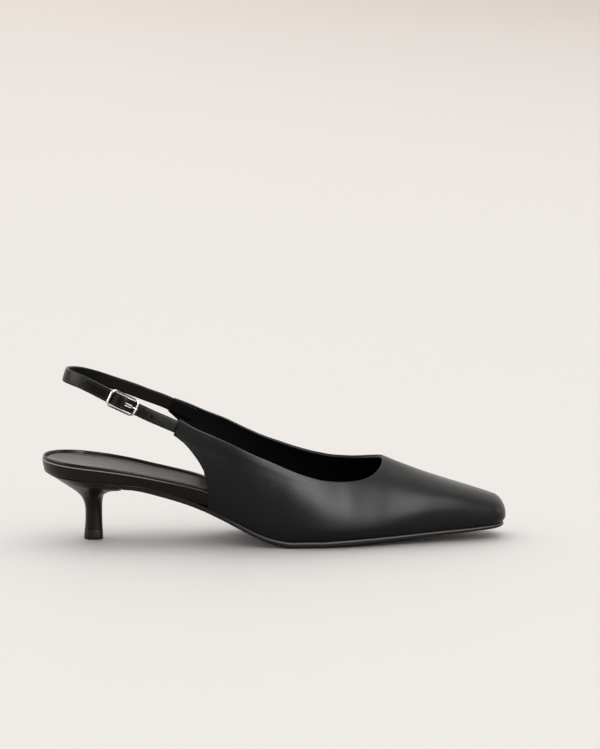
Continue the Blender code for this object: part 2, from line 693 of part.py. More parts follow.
def build_footbed():
    def rim(s):
        return SEAT_HEIGHT * f_rim(s)

    def part_way(t):
        return lambda s: bed_base(s) + (rim(s) - bed_base(s)) * t

    loops = [
        bed_loop(bed_base, 0.0006, 1.0),
        bed_loop(lambda s: bed_base(s) + 0.0006, 0.0, 0.93),
        bed_loop(part_way(0.35), 0.0, 0.50),
        bed_loop(part_way(0.70), 0.0, 0.13),
        bed_loop(lambda s: rim(s) - 0.0009, 0.0, 0.0),
        bed_loop(lambda s: rim(s) - 0.0002, 0.0004, 0.0),
        bed_loop(rim, 0.0009, 0.0),
        bed_loop(lambda s: rim(s) - 0.0004, RIM_WIDTH, 0.0),
        bed_loop(lambda s: rim(s) - RIM_DEPTH, RIM_WIDTH + 0.0002, 0.0),
    ]

    def dish(p, t, left, right):
        s = (p.x - X0) / LENGTH
        depth = 0.0008 * min(1.0, max(0.0, (0.45 - s) / 0.2))
        return -depth * (1 - t * t) * min(1.0, (right.y - left.y) / 0.03)

    return slab("footbed", loops, dish, flat)


def build_sock():
    def rim(s):
        return SEAT_HEIGHT * f_rim(s)

    inset = RIM_WIDTH + 0.0002 + GAP
    loops = [
        bed_loop(lambda s: rim(s) - RIM_DEPTH + GAP, inset, 0.0),
        bed_loop(lambda s: rim(s) - 0.0007, inset, 0.0),
        bed_loop(lambda s: rim(s) - 0.0003, inset + 0.0005, 0.0),
    ]

    def dish(p, t, left, right):
        s = (p.x - X0) / LENGTH
        depth = 0.0008 * min(1.0, max(0.0, (0.45 - s) / 0.2))
        return -depth * (1 - t * t) * min(1.0, (right.y - left.y) / 0.03)

    return slab("sock", loops, dish, dish)


# Heel
def heel_ring(row, count=30):
    h, back, front, half, n, tilt = row
    slope = SEAT_HEIGHT * (SEAT_BASE[-1][1] - SEAT_BASE[0][1]) / ((SEAT_BASE[-1][0]) * LENGTH)
    mid, reach = (back + front) / 2 * LENGTH, (front - back) / 2 * LENGTH
    points = []
    for k in range(count):
        a = 2 * math.pi * k / count
        c, v = math.cos(a), math.sin(a)
        square = n if c > 0 else n + 8.0 * tilt ** 2
        x = mid - reach * math.copysign(abs(c) ** (2 / square), c)
        y = -HALF_SEAT * half * math.copysign(abs(v) ** (2 / square), v)
        if c < 0:
            y *= 1 - 0.24 * abs(c) * tilt ** 2
        z = SEAT_HEIGHT * h + slope * (x - mid) * tilt
        points.append(Vector((X0 + x, y, z)))
    return points


def ring_solid(name, rings):
    verts, faces = [], []
    n = len(rings[0])
    for ring in rings:
        verts.extend(ring)
    for r in range(len(rings) - 1):
        for k in range(n):
            q = (k + 1) % n
            faces.append((r * n + k, r * n + q, (r + 1) * n + q, (r + 1) * n + k))
    for base, turn in ((0, -1), ((len(rings) - 1) * n, 1)):
        half = n // 2
        rows = [[base]] + [[base + k, base + n - k] for k in range(1, half)] + [[base + half]]
        for r, q in zip(rows, rows[1:]):
            faces.append(tuple(dict.fromkeys(r + q[::-1]))[::turn])
    return add_object(name, verts, faces)


def interpolate_row(h):
    values = [h]
    for c in range(1, 6):
        values.append(spline(HEEL, c)(h))
    return tuple(values)


def build_heel():
    tip = TIP_HEIGHT / SEAT_HEIGHT
    rings = []
    levels = [tip + GAP / SEAT_HEIGHT] + [row[0] for row in HEEL if row[0] > tip + 0.02]
    for h in levels[:-1]:
        rings.append(heel_ring(interpolate_row(h)))
    # the top follows the footbed's underside
    for depth, shrink in ((0.0008, 0.0), (GAP, 0.0003)):
        ring = heel_ring(interpolate_row(HEEL[-1][0]))
        for p in ring:
            s = (p.x - X0) / LENGTH
            p.z = SEAT_HEIGHT * f_seat(s) - depth
            p.y *= 1 - shrink / HALF_SEAT
        rings.append(ring)
    return ring_solid("heel", rings)


def build_top_piece():
    tip = TIP_HEIGHT / SEAT_HEIGHT
    rings = []
    for h, shrink in ((0.0, 0.94), (0.008, 0.99), (0.5 * tip, 1.0), (tip, 1.0)):
        row = list(interpolate_row(h))
        mid, reach = (row[1] + row[2]) / 2, (row[2] - row[1]) / 2
        row[1], row[2] = mid - reach * shrink, mid + reach * shrink
        row[3] *= shrink
        rings.append(heel_ring(tuple(row)))
    return ring_solid("top_piece", rings)


# Straps
def strap_curve(t):
    """Middle of the strap at t: -1 outer tab, 0 back of the heel, 1 inner tab."""
    table = STRAP_OUTER if t < 0 else STRAP_INNER
    side = -1 if t < 0 else 1
    a = abs(t) * (len(table) - 1)
    k = min(int(a), len(table) - 2)

    def at(i, c):
        if i < 0:
            row = (STRAP_INNER if side < 0 else STRAP_OUTER)[-i]
            return -row[c] if c == 1 else row[c]
        if i >= len(table):
            return 2 * table[-1][c] - table[-2][c]
        return table[i][c]

    f = a - k
    out = []
    for c in range(3):
        p0, p1, p2, p3 = (at(k + d, c) for d in (-1, 0, 1, 2))
        out.append(p1 + 0.5 * f * (p2 - p0 + f * (2 * p0 - 5 * p1 + 4 * p2 - p3
                                                  + f * (3 * (p1 - p2) + p3 - p0))))
    return Vector((X0 + LENGTH * out[0], side * STRAP_SPREAD * out[1], SEAT_HEIGHT * out[2]))


def strap_table():
    """Even arc-length samples of the strap's middle line with its frame."""
    fine = [strap_curve(-1 + 2 * k / 1200) for k in range(1201)]
    run = [0.0]
    for a, b in zip(fine, fine[1:]):
        run.append(run[-1] + (b - a).length)
    return fine, run


FINE, RUN = strap_table()


def strap_point(d):
    k = int(np.searchsorted(RUN, d)) - 1
    k = min(max(k, 0), len(RUN) - 2)
    f = (d - RUN[k]) / (RUN[k + 1] - RUN[k])
    return FINE[k].lerp(FINE[k + 1], f)


def strap_frame(d):
    """Point, direction (towards the inner tab), width direction, outward direction."""
    p = strap_point(d)
    e = 0.0015
    t = (strap_point(d + e) - strap_point(d - e)).normalized()
    # generators lean forward over the back of the heel and a little inward at the sides
    axis = Vector((0.30, 0.0, 1.0)).normalized()
    lean = Vector((0.0, -p.y / STRAP_SPREAD * 0.13, 0.0))
    w = axis + lean
    w = (w - t * w.dot(t)).normalized()
    out = t.cross(w).normalized()
    if out.dot(Vector((p.x - (X0 + 0.045), p.y, 0.0))) < 0:
        out = -out
    return p, t, w, out


def place(d, across, off):
    p, t, w, out = strap_frame(d)
    return p + w * across + out * off


def find_d(s, side):
    x = X0 + LENGTH * s
    ks = [k for k in range(1201) if (FINE[k].y < 0) == (side < 0)]
    return RUN[min(ks, key=lambda k: abs(FINE[k].x - x))]


D_BUCKLE = find_d(0.1680, -1)


def ribbon(name, path, width, slot=None, slot_half=0.0011):
    """Flat strap. path: list of (point, width direction, outward direction, thickness, share).

    slot: pairs of path indices between which the middle lane is open.
    """
    chamfer = 0.0003
    verts, faces = [], []
    rows = []
    for p, w, out, thick, share in path:
        h, t = width / 2 * share, thick / 2
        c = min(chamfer, t * 0.6)
        lane = min(slot_half, h * 0.5)
        section = [(-h + c, t), (-lane, t), (lane, t), (h - c, t), (h, t - c), (h, -t + c),
                   (h - c, -t), (lane, -t), (-lane, -t), (-h + c, -t), (-h, -t + c), (-h, t - c)]
        rows.append([len(verts) + k for k in range(12)])
        verts.extend(p + w * a + out * b for a, b in section)
    open_steps = set()
    for a, b in slot or []:
        open_steps.update(range(a, b))
    for i in range(len(rows) - 1):
        r, q = rows[i], rows[i + 1]
        for k in range(12):
            if i in open_steps and k in (1, 7):
                continue
            n = (k + 1) % 12
            faces.append((r[k], r[n], q[n], q[k]))
        if i in open_steps:
            faces.append((r[1], q[1], q[8], r[8]))
            faces.append((r[2], r[7], q[7], q[2]))
            if i - 1 not in open_steps:
                faces.append((r[1], r[8], r[7], r[2]))
            if i + 1 not in open_steps:
                faces.append((q[1], q[2], q[7], q[8]))
    for r in (rows[0], rows[-1]):
        faces.append((r[0], r[1], r[8], r[9], r[10], r[11]))
        faces.append((r[1], r[2], r[7], r[8]))
        faces.append((r[2], r[3], r[4], r[5], r[6], r[7]))
    return add_object(name, verts, faces)


BAR_OFF = 0.0015
LOOP_THICK = 0.0008
LOOP_R = BAR_WIRE + GAP + LOOP_THICK / 2
FRONT_THICK = 0.0013
TIP_REACH = 0.0245       # the front strap ends this far behind the bar
LOOP_TAIL = 0.0045       # the back strap's folded end lies this far back over itself
LOOP_FALL = 0.0007       # and comes down this much towards it


def bar_frame():
    """Frame of the buckle: its middle, direction to the toe end, width and outward directions."""
    p, t, w, out = strap_frame(D_BUCKLE)
    return p, -t, w, out


def buckle_local(a, across, off):
    """a: towards the toe, from the bar."""
    p, t, w, out = bar_frame()
    return p + t * a + w * across + out * off


def to_local(point):
    p, t, w, out = bar_frame()
    v = point - p
    return v.dot(t), v.dot(w), v.dot(out)


def build_strap_back():
    path = []
    start = find_d(0.330, 1)
    steps = 35
    stop = D_BUCKLE + LOOP_TAIL
    for k in range(steps + 1):
        d = start + (stop - start) * k / steps
        p, t, w, out = strap_frame(d)
        near = min(max((D_BUCKLE + 0.0115 - d) / 0.006, 0.0), 1.0)
        thick = STRAP_THICK + (LOOP_THICK - STRAP_THICK) * near * near * (3 - 2 * near)
        path.append((p, w, out, thick, 1.0))
    # from here in the buckle's own frame: under the bar, round it and back over it
    _, t0, w0, o0 = bar_frame()
    under = BAR_OFF - LOOP_R
    last_a, _, last_o = to_local(path[-1][0])
    for a in (-LOOP_TAIL * 2 / 3, -LOOP_TAIL / 3):
        f = (a - last_a) / (0 - last_a)
        off = last_o + (under - last_o) * f
        path.append((buckle_local(a, 0, off), w0, o0, LOOP_THICK, 1.0))
    first_slot = len(path) - 2
    for k in range(0, 10):
        ang = -math.pi / 2 + math.pi * k / 9
        pos = buckle_local(LOOP_R * math.cos(ang), 0, BAR_OFF + LOOP_R * math.sin(ang))
        radial = (t0 * math.cos(ang) + o0 * math.sin(ang)).normalized()
        path.append((pos, w0, -radial, LOOP_THICK, 1.0))
    last_slot = len(path) + 1
    over = BAR_OFF + LOOP_R
    for back, fall in ((1 / 3, 1 / 7), (2 / 3, 4 / 7), (1, 1)):
        path.append((buckle_local(-LOOP_TAIL * back, 0, over - LOOP_FALL * fall), w0, -o0, LOOP_THICK, 1.0))
    return ribbon("strap_back", path, STRAP_WIDTH, [(first_slot, last_slot)], 0.0010)


def front_offset(a):
    """Height of the front strap over the back strap's middle line, along the buckle."""
    over = BAR_OFF + LOOP_R + LOOP_THICK / 2 + GAP + FRONT_THICK / 2 + 0.0001
    on_back = STRAP_THICK / 2 + GAP + FRONT_THICK / 2 + 0.0002
    knots = [(-0.0300, on_back), (-0.0100, on_back), (-0.0068, on_back + 0.0006), (-0.0042, over - 0.0008),
             (-0.0022, over - 0.0001), (0.0, over + 0.0001), (0.0018, over - 0.0002), (0.0036, 0.0022),
             (0.0058, 0.0003), (0.0074, 0.0), (0.0100, 0.0), (0.0600, 0.0)]
    x = [k[0] for k in knots]
    y = [k[1] for k in knots]
    return float(np.interp(a, x, y))


def smooth_offset(a):
    return sum(front_offset(a + d) * wgt for d, wgt in
               ((-0.0008, 0.25), (0.0, 0.5), (0.0008, 0.25)))


def build_strap_front():
    path = []
    start, stop = find_d(0.325, -1), D_BUCKLE + TIP_REACH
    marks = list(np.arange(start, D_BUCKLE - 0.0105, 0.0032))
    marks += list(np.arange(D_BUCKLE - 0.0096, D_BUCKLE + 0.0100, 0.0008))
    marks += list(np.arange(D_BUCKLE + 0.0110, stop - 0.0008, 0.0015))
    marks.append(stop)
    slot = []
    for i, d in enumerate(marks):
        a = D_BUCKLE - d
        p, t, w, out = strap_frame(d)
        share = 1.0
        left = TIP_REACH + a
        if left < 0.0024:
            share = max(0.45, 1 - ((0.0024 - left) / 0.0036) ** 2)
        path.append((p + out * smooth_offset(a), w, out, FRONT_THICK if a < 0.012 else STRAP_THICK, share))
        if 0.0012 < a < 0.0060:
            slot.append(i)
    # outward directions follow the strap's own slope
    fixed = []
    for i, (p, w, out, thick, share) in enumerate(path):
        a, b = path[max(i - 1, 0)][0], path[min(i + 1, len(path) - 1)][0]
        t = (b - a).normalized()
        w2 = (w - t * w.dot(t)).normalized()
        o2 = t.cross(w2).normalized()
        if o2.dot(out) < 0:
            o2 = -o2
        fixed.append((p, w2, o2, thick, share))
    return ribbon("strap_front", fixed, STRAP_WIDTH - 0.0004, [(slot[0], slot[-1])], 0.0009)


def rail_offset(a):
    """Height of the frame's middle along its length: low over the front strap, high at the back."""
    r = BUCKLE_WIRE
    front = FRONT_THICK / 2 + GAP + r + 0.0001
    back = smooth_offset(-BUCKLE_LENGTH / 2 + r) + FRONT_THICK / 2 + GAP + r + 0.0001
    reach = BUCKLE_LENGTH / 2 - r
    t = (a + reach) / (2 * reach)
    straight = back + (front - back) * t
    dip = (BAR_OFF - (front + back) / 2)
    return straight + dip * 4 * t * (1 - t)


def tube(name, centre, radius, closed, count=8, normal=None):
    """Round wire along points; normal is a direction kept across the wire."""
    verts, faces = [], []
    n = len(centre)
    for i, p in enumerate(centre):
        a = centre[(i - 1) % n] if closed or i else centre[0]
        b = centre[(i + 1) % n] if closed or i < n - 1 else centre[-1]
        t = (b - a).normalized()
        u = (normal - t * normal.dot(t)).normalized()
        v = t.cross(u)
        r = radius[i] if isinstance(radius, list) else radius
        for k in range(count):
            ang = 2 * math.pi * k / count
            verts.append(p + u * (r * math.cos(ang)) + v * (r * math.sin(ang)))
    spans = n if closed else n - 1
    for i in range(spans):
        j = (i + 1) % n
        for k in range(count):
            q = (k + 1) % count
            faces.append((i * count + k, i * count + q, j * count + q, j * count + k))
    if not closed:
        faces.append(tuple(range(count))[::-1])
        faces.append(tuple((n - 1) * count + k for k in range(count)))
    return add_object(name, verts, faces)


def build_buckle():
    _, _, w0, o0 = bar_frame()
    r = BUCKLE_WIRE
    reach, across = BUCKLE_LENGTH / 2 - r, BUCKLE_WIDTH / 2 - r
    corner = 0.0022
    plan = []
    for cx, cy, start in ((reach - corner, across - corner, 0), (-reach + corner, across - corner, 90),
                          (-reach + corner, -across + corner, 180), (reach - corner, -across + corner, 270)):
        for k in range(6):
            ang = math.radians(start + 90 * k / 5)
            plan.append((cx + corner * math.cos(ang), cy + corner * math.sin(ang)))
    dense = []
    for i, (x, y) in enumerate(plan):
        dense.append((x, y))
        nx, ny = plan[(i + 1) % len(plan)]
        gap = math.hypot(nx - x, ny - y)
        extra = int(gap / 0.0016)
        for k in range(1, extra + 1):
            dense.append((x + (nx - x) * k / (extra + 1), y + (ny - y) * k / (extra + 1)))
    frame = []
    for x, y in dense:
        bow = 0.0005 * (1 - (y / across) ** 2) * (1 if x > reach - 0.001 else 0)
        frame.append(buckle_local(x + bow, y, rail_offset(x)))
    tube("buckle_frame", frame, r, True, 8, o0)

    half = across - r - GAP
    bar = [buckle_local(0, -half + 2 * half * k / 4, BAR_OFF) for k in range(5)]
    tube("buckle_bar", bar, BAR_WIRE, False, 10, o0)

    hook = BAR_WIRE + GAP + PRONG_WIRE
    tip_off = rail_offset(reach) + BUCKLE_WIRE + GAP + PRONG_WIRE + 0.0001
    points = [(hook * math.cos(math.radians(a)), BAR_OFF + hook * math.sin(math.radians(a)))
              for a in (200, 178, 156, 134, 112, 90)]
    # from the bar to the front rail: share of the way, height
    points += [(reach * 0.18, BAR_OFF + hook * 1.083), (reach * 0.365, BAR_OFF + hook * 1.167),
               (reach * 0.547, BAR_OFF * 2), (reach * 0.73, tip_off + GAP / 3), (reach, tip_off),
               (reach + PRONG_TIP, tip_off - GAP)]
    radii = [PRONG_WIRE] * (len(points) - 1) + [PRONG_WIRE * 0.6]
    tube("buckle_prong", [buckle_local(a, 0, b) for a, b in points], radii, False, 8, w0)


def main():
    for thing in list(bpy.data.objects):
        bpy.data.objects.remove(thing, do_unlink=True)
    build_upper()
    build_outsole()
    build_footbed()
    build_sock()
    build_heel()
    build_top_piece()
    build_strap_back()
    build_strap_front()
    build_buckle()


main()
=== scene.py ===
"""Slingback pump: satin upper, footbed, kitten heel and buckled strap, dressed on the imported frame."""
import math

import bmesh
import bpy
import numpy as np
from mathutils import Matrix, Vector


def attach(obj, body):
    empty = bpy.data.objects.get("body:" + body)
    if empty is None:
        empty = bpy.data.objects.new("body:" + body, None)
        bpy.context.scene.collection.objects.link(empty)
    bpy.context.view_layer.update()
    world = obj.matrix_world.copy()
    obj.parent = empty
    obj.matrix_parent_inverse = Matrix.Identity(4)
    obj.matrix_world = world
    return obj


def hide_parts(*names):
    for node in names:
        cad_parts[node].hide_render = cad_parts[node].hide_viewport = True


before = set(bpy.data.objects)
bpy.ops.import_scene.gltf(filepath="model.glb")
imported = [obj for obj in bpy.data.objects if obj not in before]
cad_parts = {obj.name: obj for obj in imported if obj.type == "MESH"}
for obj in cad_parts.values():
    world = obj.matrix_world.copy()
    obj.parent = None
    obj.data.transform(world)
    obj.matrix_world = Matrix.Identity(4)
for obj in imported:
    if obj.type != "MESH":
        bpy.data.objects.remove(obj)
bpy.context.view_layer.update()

bl_info = {
    "name": "Slingback pump",
    "version": (1, 0, 0),
    "blender": (4, 5, 0),
    "location": "3D View > Sidebar > Pump",
    "description": "Builds the visible pieces of a right slingback pump with its floor, light and camera",
    "category": "Object",
}

BODY = "root"

# sizes of the shoe, metres; the same as the solids have
LENGTH = 0.2606          # back of the seat to the tip of the toe
BALL_WIDTH = 0.0762      # upper, widest
SEAT_HEIGHT = 0.0474     # top of the seat at its back
THROAT_HEIGHT = 0.0456   # top of the vamp at the throat
SEAT_WIDTH = 0.0500
WALL = 0.0018            # satin, stiffener and lining
EDGE_ROLL = 0.00025      # the folded topline stands this much proud
SOLE_THICK = 0.0035      # sole thickness under the ball
GAP = 0.0003             # between pieces with curved faces
BED_CLEAR = 0.0007       # footbed's rim to the inside of the upper
ROLL_REACH = 0.0060      # the folded topline's swell reaches this far down
RIM_WIDTH = 0.0017       # rolled edge of the footbed round the sock
RIM_DEPTH = 0.0015
SOCK_DROP = 0.0008       # the sock lies this much deeper here than in the plain solid
STRAP_WIDTH = 0.0074
STRAP_THICK = 0.0015
TIP_HEIGHT = 0.0055
BUCKLE_LENGTH = 0.0166
BUCKLE_WIDTH = 0.0104
BUCKLE_WIRE = 0.00062    # radius of the frame
BAR_WIRE = 0.00050
PRONG_WIRE = 0.00040
PRONG_TIP = 0.0013       # the pin reaches this far past the middle of the rim's front
STRAP_FINE = 1200        # steps in which the strap's middle line is measured
HOLE_REACH = 0.0142      # from the buckle to the first spare hole, along the strap
STRAP_EASE = 0.0004      # the front strap is this much narrower, to pass through the buckle
X0 = -LENGTH / 2         # back of the seat
BREAST = 0.165           # share of the length where the footbed passes from the heel to the sole
COVERED = 0.345          # the upper covers the footbed in front of this share
QUARTER_END = 0.480      # the quarter's grid meets the vamp's columns at this share
TOE_Y = 0.0030           # the toe's middle lies this much to the inside

# Tables. s: share of the length. Other columns: share of the size named above the column.

# underside of the sole at its middle: s, height as a share of the seat height
UNDERSIDE = [
    (0.165, 0.633), (0.188, 0.627), (0.207, 0.611), (0.250, 0.551), (0.300, 0.472), (0.334, 0.408),
    (0.376, 0.313), (0.417, 0.204), (0.449, 0.118), (0.480, 0.052), (0.508, 0.014), (0.527, 0.000),
    (0.590, 0.000), (0.625, 0.009), (0.680, 0.027), (0.760, 0.055), (0.840, 0.080), (0.915, 0.101),
    (0.970, 0.124), (1.000, 0.137),
]
# thickness of the sole: s, share of its thickness under the ball
SOLE_TAPER = [
    (0.165, 0.862), (0.250, 0.862), (0.300, 0.850), (0.334, 0.810), (0.376, 0.775), (0.450, 0.770),
    (0.500, 0.890), (0.550, 1.000), (0.630, 0.970), (0.700, 0.860), (0.760, 0.750), (0.840, 0.690),
    (0.915, 0.610), (1.000, 0.550),
]
# underside of the footbed over the heel, back to breast
SEAT_BASE = [(0.000, 0.802), (0.029, 0.797), (0.058, 0.786), (0.092, 0.769), (0.120, 0.751),
             (0.145, 0.730), (0.165, 0.711)]
# rim of the footbed: s, height as a share of the seat height
RIM = [
    (0.000, 1.000), (0.013, 0.996), (0.048, 0.981), (0.092, 0.957), (0.134, 0.928), (0.184, 0.884),
    (0.251, 0.806), (0.309, 0.734), (0.342, 0.684), (0.376, 0.600), (0.420, 0.462), (0.449, 0.370),
    (0.480, 0.285), (0.508, 0.226), (0.534, 0.190), (0.576, 0.166), (0.640, 0.162), (0.720, 0.182),
    (0.800, 0.210), (0.900, 0.250), (1.000, 0.300),
]
# footbed outline: s, outer side, inner side (share of half the seat width)
BED_PLAN = [
    (0.000, 0.99, 0.99), (0.060, 0.99, 0.98), (0.095, 1.00, 1.00), (0.138, 1.01, 1.00),
    (0.184, 0.985, 0.955), (0.251, 0.925, 0.865), (0.309, 0.915, 0.820), (0.342, 0.925, 0.815),
    (0.376, 0.980, 0.835), (0.420, 1.100, 0.900), (0.480, 1.230, 1.040), (0.534, 1.275, 1.180),
    (0.580, 1.265, 1.245), (0.640, 1.205, 1.290), (0.700, 1.100, 1.265), (0.760, 0.935, 1.110),
    (0.825, 0.755, 0.930), (0.883, 0.600, 0.775), (0.930, 0.470, 0.640), (1.000, 0.300, 0.460),
]
# how far the footbed's side comes in from the rim to its base (share of half the seat width)
BED_TUCK = [
    (0.00, 0.060), (0.12, 0.060), (0.20, 0.130), (0.26, 0.150), (0.32, 0.130), (0.37, 0.090),
    (0.45, 0.030), (0.55, 0.010), (1.00, 0.010),
]
# sole outline: s, outer side, inner side (share of half the ball width)
SOLE_PLAN = [
    (0.168, 0.395, 0.385), (0.207, 0.415, 0.385), (0.250, 0.430, 0.375), (0.300, 0.470, 0.380),
    (0.334, 0.530, 0.430), (0.376, 0.655, 0.555), (0.420, 0.765, 0.640), (0.480, 0.865, 0.745),
    (0.534, 0.895, 0.828), (0.576, 0.893, 0.872), (0.634, 0.860, 0.900), (0.690, 0.795, 0.890),
    (0.760, 0.680, 0.775), (0.825, 0.563, 0.667), (0.883, 0.460, 0.566), (0.930, 0.374, 0.480),
    (1.000, 0.250, 0.360),
]
# upper, foot of the wall (feather line): s, outer, inner (share of half the ball width)
FEATHER = [
    (0.340, 0.590, 0.530), (0.376, 0.655, 0.560), (0.420, 0.750, 0.630), (0.480, 0.848, 0.733),
    (0.534, 0.878, 0.812), (0.576, 0.876, 0.856), (0.634, 0.843, 0.884), (0.690, 0.778, 0.874),
    (0.760, 0.663, 0.758), (0.825, 0.546, 0.650), (0.883, 0.443, 0.549), (0.930, 0.357, 0.463),
    (1.000, 0.240, 0.345),
]
# upper, widest line: s, outer, inner (share of half the ball width), height (share of throat height)
WIDEST = [
    (0.270, 0.722, 0.716, 1.22), (0.307, 0.728, 0.722, 1.20), (0.345, 0.744, 0.732, 1.12),
    (0.376, 0.770, 0.742, 0.965), (0.418, 0.828, 0.782, 0.735), (0.449, 0.872, 0.816, 0.590),
    (0.480, 0.910, 0.853, 0.480), (0.534, 0.965, 0.915, 0.352), (0.576, 0.984, 0.955, 0.284),
    (0.634, 0.957, 0.982, 0.246), (0.690, 0.882, 0.968, 0.252), (0.760, 0.747, 0.842, 0.306),
    (0.825, 0.620, 0.722, 0.364), (0.883, 0.510, 0.612, 0.372), (0.930, 0.424, 0.518, 0.332),
    (1.000, 0.290, 0.385, 0.260),
]
# crest of the last, free above the opening: s, side shift (share of half the ball width),
# height (share of throat height), fullness of the section (superellipse exponent)
CREST = [
    (0.270, 0.00, 2.70, 2.40), (0.345, 0.00, 2.26, 2.30), (0.418, 0.01, 1.90, 2.25),
    (0.480, 0.02, 1.66, 2.10), (0.534, 0.03, 1.46, 2.00), (0.576, 0.03, 1.335, 1.90),
    (0.634, 0.04, 1.195, 1.78), (0.690, 0.045, 1.085, 1.70), (0.732, 0.05, 1.000, 1.68),
    (0.770, 0.055, 0.912, 1.76), (0.822, 0.065, 0.796, 1.95), (0.875, 0.070, 0.693, 2.15),
    (0.928, 0.075, 0.600, 2.20), (0.963, 0.079, 0.537, 2.15), (1.000, 0.079, 0.470, 2.10),
]
# topline: s, height outer side, height inner side (share of throat height)
TOPLINE = [
    (0.288, 1.570, 1.640), (0.320, 1.455, 1.570), (0.352, 1.378, 1.490), (0.396, 1.270, 1.392),
    (0.440, 1.150, 1.270), (0.481, 1.052, 1.165), (0.520, 0.955, 1.086), (0.558, 0.876, 1.014),
    (0.597, 0.818, 0.959), (0.640, 0.795, 0.925), (0.668, 0.798, 0.925), (0.690, 0.822, 0.938),
    (0.708, 0.868, 0.958), (0.721, 0.926, 0.978), (0.7285, 0.975, 0.994), (0.7315, 1.000, 1.000),
]
THROAT = 0.7315          # the topline meets the crest here
# back edge of each quarter, from the sole up to the tab's lower corner: s, height (share of throat)
BACK_EDGE = [
    (0.3490, 0.520), (0.3480, 0.620), (0.3462, 0.720), (0.3418, 0.880), (0.3325, 1.000),
    (0.3160, 1.145), (0.2975, 1.270), (0.2738, 1.378),
]
TAB_TOP = (0.2885, 1.568)
INNER_START = 0.006      # the inner quarter's foot lies this share of the length further forward

# strap, middle line: s, y (share of the strap's spread), height (share of seat height)
STRAP_SPREAD = BALL_WIDTH * 0.32283   # how far out it lies; it follows the quarters' width
STRAP_OUTER = [
    (0.050, 0.00, 1.950), (0.0535, 0.20, 1.946), (0.066, 0.400, 1.930), (0.084, 0.560, 1.902),
    (0.115, 0.735, 1.829), (0.154, 0.875, 1.727), (0.192, 0.945, 1.632), (0.230, 0.985, 1.535),
    (0.266, 0.985, 1.449), (0.300, 0.978, 1.363), (0.340, 0.985, 1.250),
]
STRAP_INNER = [
    (0.050, 0.00, 1.950), (0.0535, 0.20, 1.949), (0.066, 0.400, 1.938), (0.084, 0.560, 1.915),
    (0.115, 0.745, 1.858), (0.154, 0.890, 1.775), (0.192, 0.955, 1.700), (0.230, 0.985, 1.618),
    (0.266, 0.980, 1.544), (0.300, 0.972, 1.456), (0.340, 0.978, 1.352),
]

# heel, slices from the top piece to the seat: height as a share of the seat height, s at the
# back, s at the front, half width (share of half the seat width), exponent, tilt as a share of the
# seat's own slope
HEEL = [
    (0.000, 0.0902, 0.1310, 0.215, 3.0, 0.0), (0.030, 0.0904, 0.1308, 0.213, 3.0, 0.0),
    (0.120, 0.0917, 0.1300, 0.204, 2.8, 0.0), (0.220, 0.0928, 0.1292, 0.197, 2.6, 0.0),
    (0.320, 0.0930, 0.1288, 0.198, 2.4, 0.0), (0.390, 0.0919, 0.1288, 0.212, 2.3, 0.0),
    (0.445, 0.0892, 0.1292, 0.245, 2.2, 0.02), (0.500, 0.0842, 0.1306, 0.302, 2.1, 0.08),
    (0.545, 0.0765, 0.1336, 0.378, 2.05, 0.20), (0.585, 0.0665, 0.1400, 0.468, 2.0, 0.36),
    (0.622, 0.0545, 0.1502, 0.570, 2.0, 0.55), (0.652, 0.0435, 0.1679, 0.690, 2.0, 0.78),
    (0.668, 0.0378, 0.1683, 0.735, 2.0, 0.86), (0.690, 0.0312, 0.1683, 0.785, 2.0, 0.94),
    (0.733, 0.0185, 0.1683, 0.862, 2.05, 1.0), (0.750, 0.0143, 0.1684, 0.893, 2.1, 1.0),
]


def spline(table, column):
    """Smooth function of s (a share) through one column of a table, without overshoot."""
    x = np.array([row[0] for row in table], float)
    y = np.array([row[column] for row in table], float)
    h = np.diff(x)
    d = np.diff(y) / h
    m = np.zeros(len(x))
    for k in range(1, len(x) - 1):
        if d[k - 1] * d[k] > 0:
            w1, w2 = 2 * h[k] + h[k - 1], h[k] + 2 * h[k - 1]
            m[k] = (w1 + w2) / (w1 / d[k - 1] + w2 / d[k])
    m[0] = d[0] + (d[0] - m[1]) * 0.5 if len(x) > 2 else d[0]
    m[-1] = d[-1] + (d[-1] - m[-2]) * 0.5 if len(x) > 2 else d[-1]

    def value(s):
        s = min(max(s, x[0]), x[-1])
        k = min(max(int(np.searchsorted(x, s)) - 1, 0), len(h) - 1)
        t = (s - x[k]) / h[k]
        a = (1 + 2 * t) * (1 - t) ** 2 * y[k] + t * (1 - t) ** 2 * h[k] * m[k]
        b = t * t * (3 - 2 * t) * y[k + 1] + t * t * (t - 1) * h[k] * m[k + 1]
        return float(a + b)

    return value


HALF_BALL = BALL_WIDTH / 2
HALF_SEAT = SEAT_WIDTH / 2
f_under = spline(UNDERSIDE, 1)
f_seat = spline(SEAT_BASE, 1)
f_taper = spline(SOLE_TAPER, 1)
f_rim = spline(RIM, 1)
f_tuck = spline(BED_TUCK, 1)
f_bed = {-1: spline(BED_PLAN, 1), 1: spline(BED_PLAN, 2)}
f_sole = {-1: spline(SOLE_PLAN, 1), 1: spline(SOLE_PLAN, 2)}
f_feather = {-1: spline(FEATHER, 1), 1: spline(FEATHER, 2)}
f_wide = {-1: spline(WIDEST, 1), 1: spline(WIDEST, 2)}
f_wide_z = spline(WIDEST, 3)
f_crest_y, f_crest_z, f_crest_n = spline(CREST, 1), spline(CREST, 2), spline(CREST, 3)
f_top = {-1: spline(TOPLINE, 1), 1: spline(TOPLINE, 2)}


def sole_base(s):
    return SEAT_HEIGHT * f_under(s)


def sole_top(s):
    return sole_base(s) + SOLE_THICK * f_taper(s)


